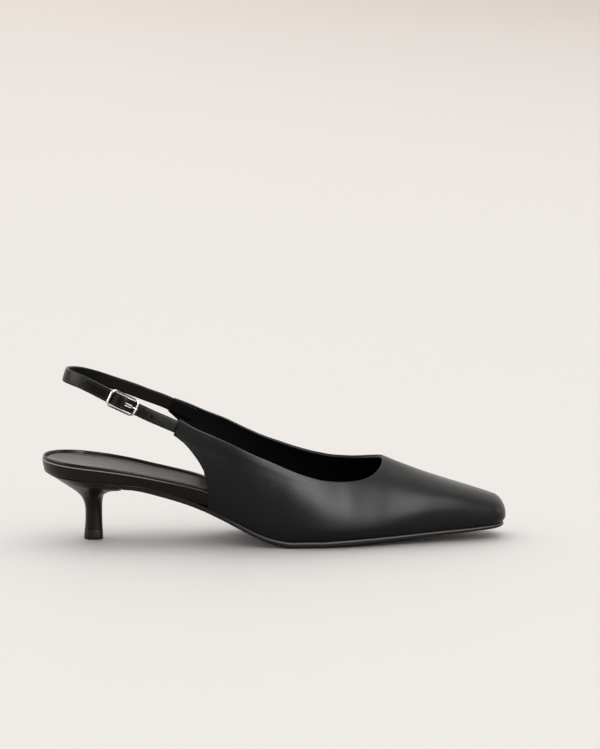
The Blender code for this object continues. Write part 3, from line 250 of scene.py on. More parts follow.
def bed_base(s):
    """Underside of the footbed: on the heel at the seat, on the sole in front of it."""
    if s <= BREAST:
        return SEAT_HEIGHT * f_seat(s)
    over_sole = sole_top(s) + GAP
    mix = min((s - BREAST) / 0.045, 1.0)
    mix = mix * mix * (3 - 2 * mix)
    slope = SEAT_HEIGHT * (f_seat(BREAST) - f_seat(0.150)) / 0.015
    straight = SEAT_HEIGHT * f_seat(BREAST) + slope * (s - BREAST)
    return max(straight * (1 - mix) + over_sole * mix, over_sole)


def station(u, back_radius, toe_radius, start, end):
    """Even stations with the ends crowded, so that a round end is followed closely."""
    a, b = start + back_radius, end - toe_radius
    n_back, n_toe = 0.16 if back_radius else 0.0, 0.18
    if u < n_back:
        return start + back_radius * (1 - math.cos(u / n_back * math.pi / 2))
    if u > 1 - n_toe:
        return b + toe_radius * math.sin((u - 1 + n_toe) / n_toe * math.pi / 2)
    return a + (b - a) * (u - n_back) / (1 - n_back - n_toe)


def cap(s, back_radius, toe_radius, start, end, toe_n=2.5):
    """Share of the half width that is left where the outline closes round an end."""
    k = 1.0
    if back_radius and s < start + back_radius:
        k *= math.sqrt(max(0.0, 1 - ((start + back_radius - s) / back_radius) ** 2))
    if s > end - toe_radius:
        k *= max(0.0, 1 - ((s - end + toe_radius) / toe_radius) ** toe_n) ** (1 / toe_n)
    return k


def middle(s):
    """Middle line in plan: straight through the heel, bending to the toe's middle."""
    t = min(max((s - 0.35) / 0.65, 0.0), 1.0)
    return TOE_Y * t * t * (3 - 2 * t)


# How colours, surfaces and meshes are made


def linear(code):
    """An sRGB hex colour as linear red, green and blue."""
    parts = [int(code[i:i + 2], 16) / 255 for i in (0, 2, 4)]
    return tuple(c / 12.92 if c <= 0.04045 else ((c + 0.055) / 1.055) ** 2.4 for c in parts)


def add_node(tree, kind, links=(), inputs=(), **settings):
    """One node with its settings, input values and incoming links."""
    node = tree.nodes.new(kind)
    for key, value in settings.items():
        setattr(node, key, value)
    for key, value in dict(inputs).items():
        node.inputs[key].default_value = value
    for key, socket in dict(links).items():
        tree.links.new(socket, node.inputs[key])
    return node


def place_of(tree):
    """Object coordinates, in metres."""
    return add_node(tree, "ShaderNodeTexCoord").outputs["Object"]


def value_of(tree, name):
    """A number stored on the mesh's points."""
    return add_node(tree, "ShaderNodeAttribute", attribute_name=name).outputs["Fac"]


def calc(tree, operation, links, inputs=()):
    """The result of one Math node."""
    return add_node(tree, "ShaderNodeMath", operation=operation, links=links, inputs=inputs).outputs[0]


def tones(base, dark, light):
    """A linear colour made darker and lighter by two factors."""
    return tuple(c * dark for c in base), tuple(c * light for c in base)


def new_surface(name, colour, roughness, metallic=0.0, **sockets):
    """A material with a Principled shader whose constants sit on its own sockets."""
    mat = bpy.data.materials.new(name)
    mat.use_nodes = True
    mat.diffuse_color = (*colour, 1.0)
    shader = mat.node_tree.nodes["Principled BSDF"]
    shader.inputs["Base Color"].default_value = (*colour, 1.0)
    shader.inputs["Roughness"].default_value = roughness
    shader.inputs["Metallic"].default_value = metallic
    for key, value in sockets.items():
        shader.inputs[key.replace("_", " ")].default_value = value
    return mat, mat.node_tree, shader


def vary(tree, shader, factor, dark, light):
    """Base colour between two linear colours by a factor socket."""
    ramp = add_node(tree, "ShaderNodeMix", data_type="RGBA", links={0: factor},
                    inputs={6: (*dark, 1.0), 7: (*light, 1.0)})
    tree.links.new(ramp.outputs[2], shader.inputs["Base Color"])
    return ramp.outputs[2]


def cover(tree, shader, share, under, colour):
    """Base colour turning from a socket to a linear colour where share is 1."""
    mixed = add_node(tree, "ShaderNodeMix", data_type="RGBA", links={0: share, 6: under},
                     inputs={7: (*colour, 1.0)})
    tree.links.new(mixed.outputs[2], shader.inputs["Base Color"])


def rough_between(tree, shader, factor, low, high):
    """Roughness between two values by a factor socket."""
    span = add_node(tree, "ShaderNodeMapRange", links={0: factor}, inputs={3: low, 4: high})
    tree.links.new(span.outputs[0], shader.inputs["Roughness"])
    return span.outputs[0]


def bump(tree, height, distance, strength=1.0, below=None):
    """A bump with its relief in metres; below is the normal of a coarser bump."""
    links = {"Height": height}
    if below is not None:
        links["Normal"] = below
    node = add_node(tree, "ShaderNodeBump", links=links,
                    inputs={"Strength": strength, "Distance": distance})
    return node.outputs["Normal"]


def noise(tree, where, size, detail=2.0, roughness=0.5, stretch=None):
    """Noise whose blobs are about size metres across; stretch lengthens them along an axis."""
    source = where
    if stretch is not None:
        source = add_node(tree, "ShaderNodeMapping", links={0: where},
                          inputs={3: stretch}).outputs[0]
    return add_node(tree, "ShaderNodeTexNoise", links={"Vector": source},
                    inputs={"Scale": 1.0 / size, "Detail": detail, "Roughness": roughness}).outputs["Fac"]


BAND = 0.314             # a Wave texture repeats every BAND / scale metres


def pebble(tree, place, size):
    """Cells of a leather's grain, size metres across."""
    return add_node(tree, "ShaderNodeTexVoronoi", links={"Vector": place},
                    inputs={"Scale": 1 / size, "Randomness": 1.0}).outputs["Distance"]


def threads(tree, uv, direction, pitch, distortion, fine):
    """Threads across one direction of the UV map, pitch metres apart."""
    return add_node(tree, "ShaderNodeTexWave", wave_type="BANDS", bands_direction=direction,
                    links={"Vector": uv}, inputs={"Scale": BAND / pitch, "Distortion": distortion,
                                                  "Detail": 2.0, "Detail Scale": fine}).outputs["Fac"]


def satin(name, thread_mm, base, shine=0.17):
    """Duchess satin of polyester, woven with long floats and glued over a stiffener.

    The floats run along the shoe, so that a light draws out across them into an upright, broad and
    soft sheen; the cloth is matt in the dark and never mirrors. Real threads are 0.12 mm apart; they are
    drawn thread_mm apart so that they still show.
    """
    mat, tree, shader = new_surface(name, base, 0.35, Anisotropic=0.35, Anisotropic_Rotation=0.25,
                                    Sheen_Weight=0.03, Sheen_Roughness=0.45,
                                    Specular_IOR_Level=shine)
    shader.inputs["Sheen Tint"].default_value = (*linear("b9b4b0"), 1.0)
    uv = add_node(tree, "ShaderNodeUVMap", uv_map="UVMap").outputs[0]
    tangent = add_node(tree, "ShaderNodeTangent", direction_type="UV_MAP", uv_map="UVMap")
    tree.links.new(tangent.outputs[0], shader.inputs["Tangent"])
    place = place_of(tree)
    pitch = thread_mm / 1000
    warps = threads(tree, uv, "X", pitch, 2.4, 1.5)
    wefts = threads(tree, uv, "Y", pitch * 1.7, 2.2, 1.2)
    cloth = calc(tree, "MULTIPLY_ADD", {0: wefts, 2: warps}, {1: 0.35})
    slubs = noise(tree, uv, 0.0011, 3.0, 0.6, stretch=(1.0, 0.22, 1.0))
    drape = noise(tree, place, 0.011, 1.0, 0.4)
    normal = bump(tree, drape, 0.00016, 0.5)
    normal = bump(tree, slubs, 0.00005, 0.6, normal)
    normal = bump(tree, cloth, 0.00002, 0.5, normal)
    # the pressed edge: a fold line near the topline and a faint turned-in allowance behind it
    centimetres = calc(tree, "MULTIPLY", {0: value_of(tree, "from_edge")}, {1: 100.0})
    fold = add_node(tree, "ShaderNodeFloatCurve", links={"Value": centimetres})
    curve = fold.mapping.curves[0]
    for k, (at, level) in enumerate(FOLD_PROFILE):
        if k < 2:
            curve.points[k].location = (at, level)
        else:
            curve.points.new(at, level)
    fold.mapping.update()
    normal = bump(tree, fold.outputs[0], 0.00013, 1.0, normal)
    tree.links.new(normal, shader.inputs["Normal"])
    tone_and_painted_shade = noise(tree, place, 0.016, 2.0, 0.5)
    vary(tree, shader, tone_and_painted_shade, *tones(base, 0.82, 1.25))
    rough_between(tree, shader, slubs, 0.31, 0.39)
    return mat


# height of the pressed edge across it: distance in cm, share of the relief
FOLD_PROFILE = [(0.0, 0.80), (1.0, 0.60), (0.05, 1.0), (0.12, 0.95), (0.20, 0.72), (0.30, 0.66)]


def lining_leather():
    """Goatskin lining, dyed and left unglazed: near black, matt, with a fine pebble."""
    base = linear("080707")
    mat, tree, shader = new_surface("lining_goatskin", base, 0.62, Specular_IOR_Level=0.05)
    place = place_of(tree)
    tree.links.new(bump(tree, pebble(tree, place, 0.0009), 0.00005, 0.5), shader.inputs["Normal"])
    vary(tree, shader, noise(tree, place, 0.012), *tones(base, 0.8, 1.4))
    return mat


def nappa(name, base, roughness, grain=0.0007, relief=0.00004, coat=0.0, spread=1.3, painted_highlight=None,
          fore=0.0):
    """Nappa leather, plated smooth: fine pores, a soft sheen, a little uneven in tone.

    A pale colour, if given, is a painted highlight, laid where the mesh's matching attribute is 1. fore is how
    much rougher the leather is towards the ball than under the heel, where feet polish it.
    """
    mat, tree, shader = new_surface(name, base, roughness, Specular_IOR_Level=0.22,
                                    Coat_Weight=coat, Coat_Roughness=0.22)
    shader.inputs["Specular Tint"].default_value = (*linear("f4e4d8"), 1.0)
    place = place_of(tree)
    soft = noise(tree, place, 0.006, 2.0, 0.5)
    normal = bump(tree, soft, 0.00012, 0.5)
    tree.links.new(bump(tree, pebble(tree, place, grain), relief, 0.6, normal), shader.inputs["Normal"])
    even = vary(tree, shader, noise(tree, place, 0.014, 3.0, 0.55), *tones(base, 1 / spread, spread))
    # painted highlight: the base colour turns pale where the attribute is 1
    if painted_highlight:
        cover(tree, shader, value_of(tree, "painted_highlight"), even, linear(painted_highlight))
    grade = rough_between(tree, shader, soft, roughness - 0.05, roughness + 0.07)
    if fore:
        along_x = add_node(tree, "ShaderNodeSeparateXYZ", links={0: place}).outputs["X"]
        share = add_node(tree, "ShaderNodeMapRange", links={0: along_x},
                         inputs={1: X0 + 0.02, 2: X0 + 0.09, 3: 0.0, 4: fore})
        tree.links.new(calc(tree, "ADD", {0: grade, 1: share.outputs[0]}), shader.inputs["Roughness"])
    return mat


def sole_unit():
    """Compact resin-rubber sole unit, moulded and edge-inked: satin black, with faint mould marks."""
    base = linear("12100f")
    mat, tree, shader = new_surface("sole_resin_rubber", base, 0.42, Specular_IOR_Level=0.25)
    grit = noise(tree, place_of(tree), 0.0008, 4.0, 0.6)
    tree.links.new(bump(tree, grit, 0.00006, 0.5), shader.inputs["Normal"])
    # painted highlight: the upper rounding of the edge is painted paler than the inked side
    vary(tree, shader, value_of(tree, "edge_highlight"), base, linear("62605e"))
    rough_between(tree, shader, grit, 0.38, 0.52)
    return mat


def plated_metal():
    """Zinc casting, polished and nickel plated: bright, slightly warm, a little uneven in its polish."""
    base = linear("cdc5bb")
    mat, tree, shader = new_surface("nickel_plated_zinc", base, 0.14, 1.0)
    place = place_of(tree)
    even = vary(tree, shader, noise(tree, place, 0.004), *tones(base, 0.92, 1.0))
    # painted shade: the rails and the pin are painted near black, and made less metallic and rougher, where
    # they are seen in shade
    painted_shade = value_of(tree, "painted_shade")
    cover(tree, shader, painted_shade, even, linear("2a2725"))
    metal_share = calc(tree, "MULTIPLY_ADD", {0: painted_shade}, {1: -0.9, 2: 1.0})
    tree.links.new(metal_share, shader.inputs["Metallic"])
    polish = noise(tree, place, 0.0025, 2.0, 0.5)
    rough_between(tree, shader, calc(tree, "MULTIPLY_ADD", {0: polish, 2: painted_shade}, {1: 0.15}), 0.10, 0.55)
    return mat


def thread_surface():
    """Bonded polyester thread: black with a slight gloss and a twist."""
    base = linear("1c1b1b")
    mat, tree, shader = new_surface("polyester_thread", base, 0.45)
    twist = add_node(tree, "ShaderNodeTexWave", links={"Vector": place_of(tree)},
                     inputs={"Scale": BAND / 0.00035, "Distortion": 1.0}).outputs["Fac"]
    tree.links.new(bump(tree, twist, 0.00003, 0.6), shader.inputs["Normal"])
    vary(tree, shader, twist, *tones(base, 0.8, 1.4))
    return mat


def heel_tip_rubber():
    """Top piece of moulded polyurethane: matt black, a little uneven in tone."""
    base = linear("0c0b0b")
    mat, tree, shader = new_surface("top_piece_polyurethane", base, 0.5, Specular_IOR_Level=0.18)
    grit = noise(tree, place_of(tree), 0.0006, 4.0, 0.65)
    tree.links.new(bump(tree, grit, 0.00004, 0.5), shader.inputs["Normal"])
    vary(tree, shader, grit, *tones(base, 0.8, 1.4))
    rough_between(tree, shader, grit, 0.44, 0.60)
    return mat


def shade(mesh, sharp):
    """Smooth, but for edges sharper than an angle in degrees."""
    mesh.shade_smooth()
    mesh.set_sharp_from_angle(angle=math.radians(sharp))


def finish_mesh(name, verts, faces, surfaces, slots=None, uvs=None, values=None, sharp=40.0, bevel=0.0):
    """A closed piece: merged, normals outward, bevelled if asked, smooth but for sharp edges."""
    mesh = bpy.data.meshes.new(name)
    mesh.from_pydata([tuple(v) for v in verts], [], faces)
    for mat in surfaces:
        mesh.materials.append(mat)
    if slots is not None:
        mesh.polygons.foreach_set("material_index", slots)
    if uvs is not None:
        layer = mesh.uv_layers.new(name="UVMap")
        loops = np.zeros(len(mesh.loops), np.int32)
        mesh.loops.foreach_get("vertex_index", loops)
        layer.data.foreach_set("uv", np.array(uvs, np.float32)[loops].ravel())
    for key, numbers in (values or {}).items():
        attribute = mesh.attributes.new(key, "FLOAT", "POINT")
        attribute.data.foreach_set("value", np.array(numbers, np.float32))
    work = bmesh.new()
    work.from_mesh(mesh)
    bmesh.ops.remove_doubles(work, verts=work.verts, dist=2e-6)
    bmesh.ops.dissolve_degenerate(work, dist=1e-6, edges=work.edges)
    bmesh.ops.recalc_face_normals(work, faces=work.faces)
    if work.calc_volume(signed=True) < 0:
        bmesh.ops.reverse_faces(work, faces=work.faces)
    work.to_mesh(mesh)
    work.free()
    shade(mesh, sharp)
    thing = bpy.data.objects.new(name, mesh)
    bpy.context.scene.collection.objects.link(thing)
    if bevel:
        soften = thing.modifiers.new("edge", "BEVEL")
        soften.width, soften.segments, soften.limit_method = bevel, 3, "ANGLE"
        soften.angle_limit = math.radians(50)
        soften.harden_normals = False
        settle(thing)
        shade(thing.data, sharp)
    return thing


def settle(thing):
    """The evaluated object as its own plain mesh, with no modifier left."""
    graph = bpy.context.evaluated_depsgraph_get()
    mesh = bpy.data.meshes.new_from_object(thing.evaluated_get(graph), depsgraph=graph)
    if thing.type == "MESH":
        thing.modifiers.clear()
        thing.data = mesh
        return thing
    plain = bpy.data.objects.new(thing.name, mesh)
    bpy.data.objects.remove(thing, do_unlink=True)
    bpy.context.scene.collection.objects.link(plain)
    return plain


def on_shoe(thing, slot, *nodes):
    """The piece rides on the shoe and stands for the named nodes, which are hidden; slot is not used."""
    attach(thing, BODY)
    if nodes:
        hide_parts(*nodes)
    return thing


# The upper

# the toe's round end for each guide line: its radius and its tip, as shares of the length
TOE_R = {"wide": 0.036, "feather": 0.034, "crest": 0.030}
TOE_END = {"wide": 1.0000, "feather": 0.9935, "crest": 0.9740}
TOE_N = 2.6              # the toe's end is a superellipse with this exponent
# rows below and above the widest line, columns of the quarter, rows of its tab, and how many
# times finer the stations in front of it are
ROWS_LOW, ROWS_HIGH, QUARTER_STEPS, TAB_ROWS, FORE_FINER = 9, 34, 36, 9, 3
ROWS = ROWS_LOW + ROWS_HIGH + 1


def guide(kind, s, side):
    """One guide point of the upper at station s."""
    end, r = TOE_END[kind], TOE_R[kind]
    share = cap(s, 0, r, 0, end, TOE_N)
    mid = middle(s)
    half = {"wide": f_wide, "feather": f_feather}[kind][side](s) * HALF_BALL
    y = mid + side * max(half - side * mid, 0.0) * share
    z = THROAT_HEIGHT * f_wide_z(s) if kind == "wide" else sole_top(s) + GAP
    return Vector((X0 + LENGTH * s, y, z))


def crest_point(s):
    """Crest: over the middle line at the instep, drifting to the toe's middle."""
    return Vector((X0 + LENGTH * s, middle(s) * 0.6 + HALF_BALL * f_crest_y(s) * 0.4,
                   THROAT_HEIGHT * f_crest_z(s)))


def crest_slope(s):
    d = 0.004
    return THROAT_HEIGHT * (f_crest_z(s + d) - f_crest_z(s - d)) / (2 * d * LENGTH)


def wall_y(s, z, side):
    """Side position of the last's surface at station s and height z."""
    wide, crest, n = guide("wide", s, side), crest_point(s), f_crest_n(s)
    if z >= wide.z:
        v = min((z - wide.z) / (crest.z - wide.z), 1.0)
        c = max(0.0, 1 - v ** n) ** (1 / n)
        return crest.y + (wide.y - crest.y) * c
    foot = guide("feather", max(s, 0.340), side)
    v = (wide.z - z) / max(wide.z - foot.z, 1e-6)
    return wide.y + (foot.y - wide.y) * v ** 2


def column(u_s, side):
    """Points of one column from the feather line to the topline or the crest."""
    s_w, s_f, s_c = u_s
    wide, foot, crest = guide("wide", s_w, side), guide("feather", s_f, side), crest_point(s_c)
    n = f_crest_n(s_w)
    slope = crest_slope(min(s_c, 0.95))
    points = []
    for i in range(ROWS_LOW):
        v = 1 - i / ROWS_LOW
        p = wide.lerp(foot, v ** 2)
        p.z = wide.z + (foot.z - wide.z) * v
        points.append(p)
    stop = math.pi / 2
    if s_c < THROAT:
        rise = (THROAT_HEIGHT * f_top[side](s_c) - wide.z) / (crest.z - wide.z)
        stop = math.asin(min(1.0, max(0.0, rise) ** (n / 2)))
    for i in range(ROWS_HIGH + 1):
        a = stop * i / ROWS_HIGH
        c, v = abs(math.cos(a)) ** (2 / n), math.sin(a) ** (2 / n)
        if i == ROWS_HIGH and s_c >= THROAT:
            c, v = 0.0, 1.0
        p = crest + (wide - crest) * c
        p.z = wide.z + (crest.z - wide.z) * v + slope * (p.x - crest.x) * v ** 2
        points.append(p)
    return points


def stations_fore():
    """Stations from the front of the quarter to the toe's middle, as (widest, feather, crest)."""
    body = list(np.linspace(QUARTER_END, 0.640, 8)[:-1]) + list(np.linspace(0.640, 0.700, 5)[:-1])
    body += [0.700, 0.711, 0.719, 0.7245, 0.7285, 0.7306, THROAT]
    out = [(s, s, s) for s in body]
    last = THROAT
    turn = 0.89
    for k in range(1, 8):
        t = k / 7
        s = last + (turn - last) * (0.25 * t + 0.75 * t ** 1.15)
        out.append((s, s, s))
    turns = 10
    for k in range(1, turns + 1):
        a = k / turns
        row = []
        for kind in ("wide", "feather", "crest"):
            end, r = TOE_END[kind], TOE_R[kind]
            straight = end - r - turn
            whole = straight + r * 1.15
            d = a * whole
            if d < straight:
                row.append(turn + d)
            else:
                row.append(end - r + r * math.sin((d - straight) / (r * 1.15) * math.pi / 2))
        if k == turns:
            row = [TOE_END["wide"], TOE_END["feather"], TOE_END["crest"]]
        out.append(tuple(row))
    return out


def finer(rows, times):
    """The stations with times - 1 even ones put between each two."""
    out = []
    for a, b in zip(rows, rows[1:]):
        for k in range(times):
            out.append(tuple(p + (q - p) * k / times for p, q in zip(a, b)))
    out.append(rows[-1])
    return out


def along(path, count):
    """The path's points resampled evenly, count + 1 of them."""
    path = np.array(path, float)
    run = np.concatenate([[0], np.cumsum(np.hypot(*np.diff(path, axis=0).T))])
    at = np.linspace(0, run[-1], count + 1)
    return [(float(np.interp(d, run, path[:, 0])), float(np.interp(d, run, path[:, 1]))) for d in at]


def patch(u, v, edges, corners):
    """Coons patch: a value between its left, right, low and high edges, from the four corners too."""
    left, right, low, high = edges
    low_left, high_left, low_right, high_right = corners
    return ((1 - u) * left + u * right + (1 - v) * low + v * high
            - (1 - u) * (1 - v) * low_left - (1 - u) * v * high_left
            - u * (1 - v) * low_right - u * v * high_right)


def quarter_back(side):
    """The quarter's back edge and tab from the sole up, as (share of the length, height)."""
    edge = [(a, THROAT_HEIGHT * b) for a, b in BACK_EDGE]
    edge[0] = (edge[0][0], guide("feather", edge[0][0], side).z)
    lift = (f_top[side](TAB_TOP[0]) - TAB_TOP[1]) * THROAT_HEIGHT
    tab = [(0.2788, THROAT_HEIGHT * 1.443 + lift * 0.9),
           (0.2838, THROAT_HEIGHT * 1.507 + lift * 0.95),
           (TAB_TOP[0], THROAT_HEIGHT * TAB_TOP[1] + lift)]
    if side > 0:
        # the inner quarter starts a little further forward and climbs higher to the strap
        edge = [(a + INNER_START * min(1.0, max(0.0, (1.05 - z / THROAT_HEIGHT) / 0.3)),
                 z + lift * 1.38 * max(0.0, (z / THROAT_HEIGHT - 0.95) / 0.428)) for a, z in edge]
    low = resample([(a * LENGTH, z) for a, z in edge], ROWS - 1 - TAB_ROWS)
    high = along([(a * LENGTH, z) for a, z in [edge[-1]] + tab], TAB_ROWS)
    return edge[0][0], [(x / LENGTH, z) for x, z in low + high[1:]]


def quarter(side, first_fore):
    """Grid between the quarter's back edge and the first straight column."""
    start, left = quarter_back(side)
    right = [(QUARTER_END, p.z) for p in first_fore]
    bottom_s = np.linspace(start, QUARTER_END, QUARTER_STEPS + 1)
    top_s = np.linspace(TAB_TOP[0], QUARTER_END, QUARTER_STEPS + 1)
    grid = []
    for j in range(QUARTER_STEPS):
        low = (bottom_s[j], guide("feather", bottom_s[j], side).z)
        high = (top_s[j], THROAT_HEIGHT * f_top[side](top_s[j]))
        col = []
        for i in range(ROWS):
            s, z = left[i] if j == 0 else (
                patch(j / QUARTER_STEPS, i / (ROWS - 1), (left[i][c], right[i][c], low[c], high[c]),
                      (left[0][c], left[-1][c], right[0][c], right[-1][c])) for c in (0, 1))
            col.append(Vector((X0 + LENGTH * s, wall_y(s, z, side), z)))
        grid.append(col)
    return grid


# soft troughs and ridges pressed into the satin: s, height (share of throat height), side, length
# and width (metres), turn from level (degrees, up to the toe), depth (metres, below 0 is a ridge)
CREASES = [
    (0.752, 0.880, -1, 0.0110, 0.0036, -30, 0.00034), (0.775, 0.800, -1, 0.0150, 0.0042, -18, -0.00022),
    (0.385, 1.100, -1, 0.0200, 0.0060, -42, 0.00022), (0.370, 0.780, -1, 0.0120, 0.0050, -76, 0.00030),
    (0.352, 0.700, -1, 0.0120, 0.0040, -80, -0.00020), (0.430, 0.800, -1, 0.0240, 0.0080, -52, -0.00018),
    (0.752, 0.880, 1, 0.0110, 0.0036, -30, 0.00030), (0.390, 1.150, 1, 0.0200, 0.0060, -42, 0.00022),
    (0.372, 0.800, 1, 0.0120, 0.0050, -76, 0.00028), (0.430, 0.850, 1, 0.0240, 0.0080, -52, -0.00018),
]


def pressed(points, sides):
    """Depth of the creases at each point of the outer surface."""
    depth = np.zeros(len(points))
    for s, h, side, length, width, turn, deep in CREASES:
        a = math.radians(turn)
        dx, dz = points[:, 0] - (X0 + LENGTH * s), points[:, 2] - THROAT_HEIGHT * h
        u, v = dx * math.cos(a) + dz * math.sin(a), -dx * math.sin(a) + dz * math.cos(a)
        bell = np.exp(-(u / length) ** 2 * 2.2 - (v / width) ** 2 * 2.2)
        depth += deep * bell * (sides * side > 0)
    return depth


def nearest(points, line):
    """Distance from each point to a line of points."""
    best = np.full(len(points), 1e9)
    for a, b in zip(line, line[1:]):
        d = b - a
        t = np.clip(((points - a) @ d) / max(d @ d, 1e-18), 0, 1)
        best = np.minimum(best, np.linalg.norm(points - a - t[:, None] * d, axis=1))
    return best


def upper_points(grids, key_of):
    """Points of the outer face, where each one is listed, its UV along and up the shoe, its side."""
    verts, index, uvs, sides = [], {}, [], []
    for side, grid in grids.items():
        run = 0.0
        for j, col in enumerate(grid):
            if j:
                run += (col[ROWS_LOW] - grid[j - 1][ROWS_LOW]).length
            climb = 0.0
            for i, p in enumerate(col):
                climb += (p - col[i - 1]).length if i else 0.0
                key = key_of(side, j, i)
                if key not in index:
                    index[key] = len(verts)
                    verts.append(p.copy())
                    uvs.append((run, climb))
                    sides.append(key[0])
                elif key[0] == 0:
                    verts[index[key]] = (verts[index[key]] + p) / 2
    return np.array([tuple(v) for v in verts]), index, uvs, np.array(sides)


def area_normals(points, faces):
    """The normal at each point, weighted by the area of the faces round it."""
    normals = np.zeros_like(points)
    for f in faces:
        p = points[list(f)]
        normals[list(f)] += sum(np.cross(p[k] - p[0], p[k + 1] - p[0]) for k in range(1, len(p) - 1))
    return normals / np.maximum(np.linalg.norm(normals, axis=1), 1e-12)[:, None]


ROLL_SHARE = 0.4         # of EDGE_ROLL; the topline swells less here than in part.py
PLAIN = 0.02             # from_edge of the lining's points, far from any fold


def build_upper(surface, lining):
    """Hollow satin upper with its lining, one closed body, open at the throat, back and foot."""
    fore = finer(stations_fore(), FORE_FINER)
    grids = {}
    for side in (-1, 1):
        columns = [column(u, side) for u in fore]
        grids[side] = quarter(side, columns[0]) + columns
    count, top = len(grids[-1]), ROWS - 1
    ridge = QUARTER_STEPS + next(j for j, row in enumerate(fore) if row[2] >= THROAT - 1e-9)

    def key_of(side, j, i):
        shared = (i == top and j >= ridge) or j == count - 1
        return (0 if shared else side, j, i)

    points, index, uvs, sides = upper_points(grids, key_of)

    def vid(side, j, i):
        return index[key_of(side, j, i)]

    def round_the_shoe(i, last):
        """One row's points from the outer quarter's back, round its last column, to the inner one's."""
        return [vid(-1, j, i) for j in range(last + 1)] + [vid(1, j, i) for j in range(last - 1, -1, -1)]

    faces = []
    for side in (-1, 1):
        for j in range(count - 1):
            for i in range(top):
                q = [vid(side, j, i), vid(side, j + 1, i), vid(side, j + 1, i + 1), vid(side, j, i + 1)]
                q = tuple(dict.fromkeys(q if side < 0 else q[::-1]))
                if len(q) > 2:
                    faces.append(q)
    normals = area_normals(points, faces)
    inner = points - normals * WALL
    foot = round_the_shoe(0, count - 1)
    for k in foot:
        level = normals[k] * (1.0, 1.0, 0.0)
        inner[k] = points[k] - level / np.linalg.norm(level) * WALL
    backs = [[vid(side, 0, i) for i in range(ROWS)] for side in (-1, 1)]
    topline = round_the_shoe(top, ridge)
    from_top = nearest(points, points[topline])
    from_edge = np.minimum(from_top, np.minimum(*(nearest(points, points[back]) for back in backs)))
    swell = np.where(from_top < ROLL_REACH,
                     EDGE_ROLL * ROLL_SHARE * np.sin(np.pi * from_top / ROLL_REACH) ** 2, 0.0)
    # the creases fade out towards the topline and the back edges
    depth = pressed(points, sides) * np.clip((from_edge - 0.002) / 0.006, 0, 1)
    every = np.concatenate([points + normals * (swell - depth)[:, None], inner])
    n0 = len(points)
    slots = [0] * len(faces) + [1] * len(faces)
    faces += [tuple(k + n0 for k in reversed(f)) for f in faces]
    for line, slot in ((backs[0], 0), (backs[1], 0), (topline, 0), (foot, 1)):
        for a, b in zip(line, line[1:]):
            faces.append((a, b, b + n0, a + n0))
            slots.append(slot)
    return finish_mesh("upper_satin", every, faces, [surface, lining], slots, uvs + uvs,
                       {"from_edge": list(from_edge) + [PLAIN] * n0}, sharp=50.0, bevel=0.00055)


# Footbed, sock and sole


def loop_points(half, level, count, radii, start, end, toe_n=2.5):
    """Closed outline: back middle, outer side, toe middle, inner side. level gives the height."""
    points = []
    for k in list(range(count + 1)) + list(range(count - 1, 0, -1)):
        side = -1 if len(points) <= count else 1
        s = station(k / count, radii[0], radii[1], start, end)
        share = cap(s, radii[0], radii[1], start, end, toe_n)
        mid = middle(s)
        y = mid + side * max(half(side, s) - side * mid, 0.0) * share
        points.append(Vector((X0 + LENGTH * s, y, level(s))))
    return points


def offset_loop(points, distance, count):
    """The outline moved inward by a distance, in plan."""
    out = []
    n = len(points)
    for k, p in enumerate(points):
        a, b = points[k - 1], points[(k + 1) % n]
        t = Vector((b.x - a.x, b.y - a.y, 0.0)).normalized()
        inward = Vector((-t.y, t.x, 0.0))
        out.append(p + inward * distance)
    for k in (0, count):
        out[k].y = points[k].y
    return out


def slab(name, loops, top_level, base_level, surfaces, lanes=10, sharp=40.0, painted_highlight=()):
    """Closed solid: the loops are joined in turn, the first and the last filled across.

    The loops named in the last argument carry a painted highlight.
    """
    verts, faces = [], []
    n = len(loops[0])
    half = n // 2
    starts = []
    for loop in loops:
        starts.append(len(verts))
        verts.extend(loop)
    for a, b in zip(starts, starts[1:]):
        for k in range(n):
            q = (k + 1) % n
            faces.append((a + k, a + q, b + q, b + k))
    for which, level in ((0, base_level), (-1, top_level)):
        base, loop = starts[which], loops[which]
        rows = [[base]]
        for k in range(1, half):
            left, right = loop[k], loop[n - k]
            row = [base + k]
            for j in range(1, lanes):
                t = j / lanes
                p = left.lerp(right, t)
                row.append(len(verts))
                verts.append(Vector((p.x, p.y, p.z + level(p, 2 * t - 1, left, right))))
            row.append(base + n - k)
            rows.append(row)
        rows.append([base + half])
        for r, q in zip(rows, rows[1:]):
            if len(r) == 1:
                faces.extend((r[0], q[j], q[j + 1]) for j in range(len(q) - 1))
            elif len(q) == 1:
                faces.extend((r[j], q[0], r[j + 1]) for j in range(len(r) - 1))
            else:
                faces.extend((r[j], q[j], q[j + 1], r[j + 1]) for j in range(lanes))
    marks = [0.0] * len(verts)
    for which in painted_highlight:
        for k in range(starts[which], starts[which] + n):
            # the painted highlight is full at the back and fades to 0.35 in front of the heel
            marks[k] = min(1.0, max(0.35, 1 - ((verts[k].x - X0) / LENGTH - 0.20) / 0.15))
    return finish_mesh(name, verts, faces, surfaces, values={"painted_highlight": marks}, sharp=sharp)


def flat(p, t, left, right):
    return 0.0


def bed_half(side, s):
    """Half width at the rim, kept inside the upper's wall where the upper covers it."""
    wide = HALF_SEAT * f_bed[side](s)
    if s > COVERED:
        inside = side * wall_y(s, SEAT_HEIGHT * f_rim(s), side) - WALL - BED_CLEAR
        wide = min(wide, inside)
    return wide


def bed_tuck(side, s):
    """How far the side comes in from the rim to the base."""
    tuck = HALF_SEAT * f_tuck(s)
    if s > COVERED:
        tuck = max(tuck, bed_half(side, s) - (HALF_BALL * f_feather[side](s) - WALL - BED_CLEAR))
    return tuck


BED_END = 0.979
BED_R = (HALF_SEAT * 0.985 / LENGTH, 0.030)
COUNT = 120


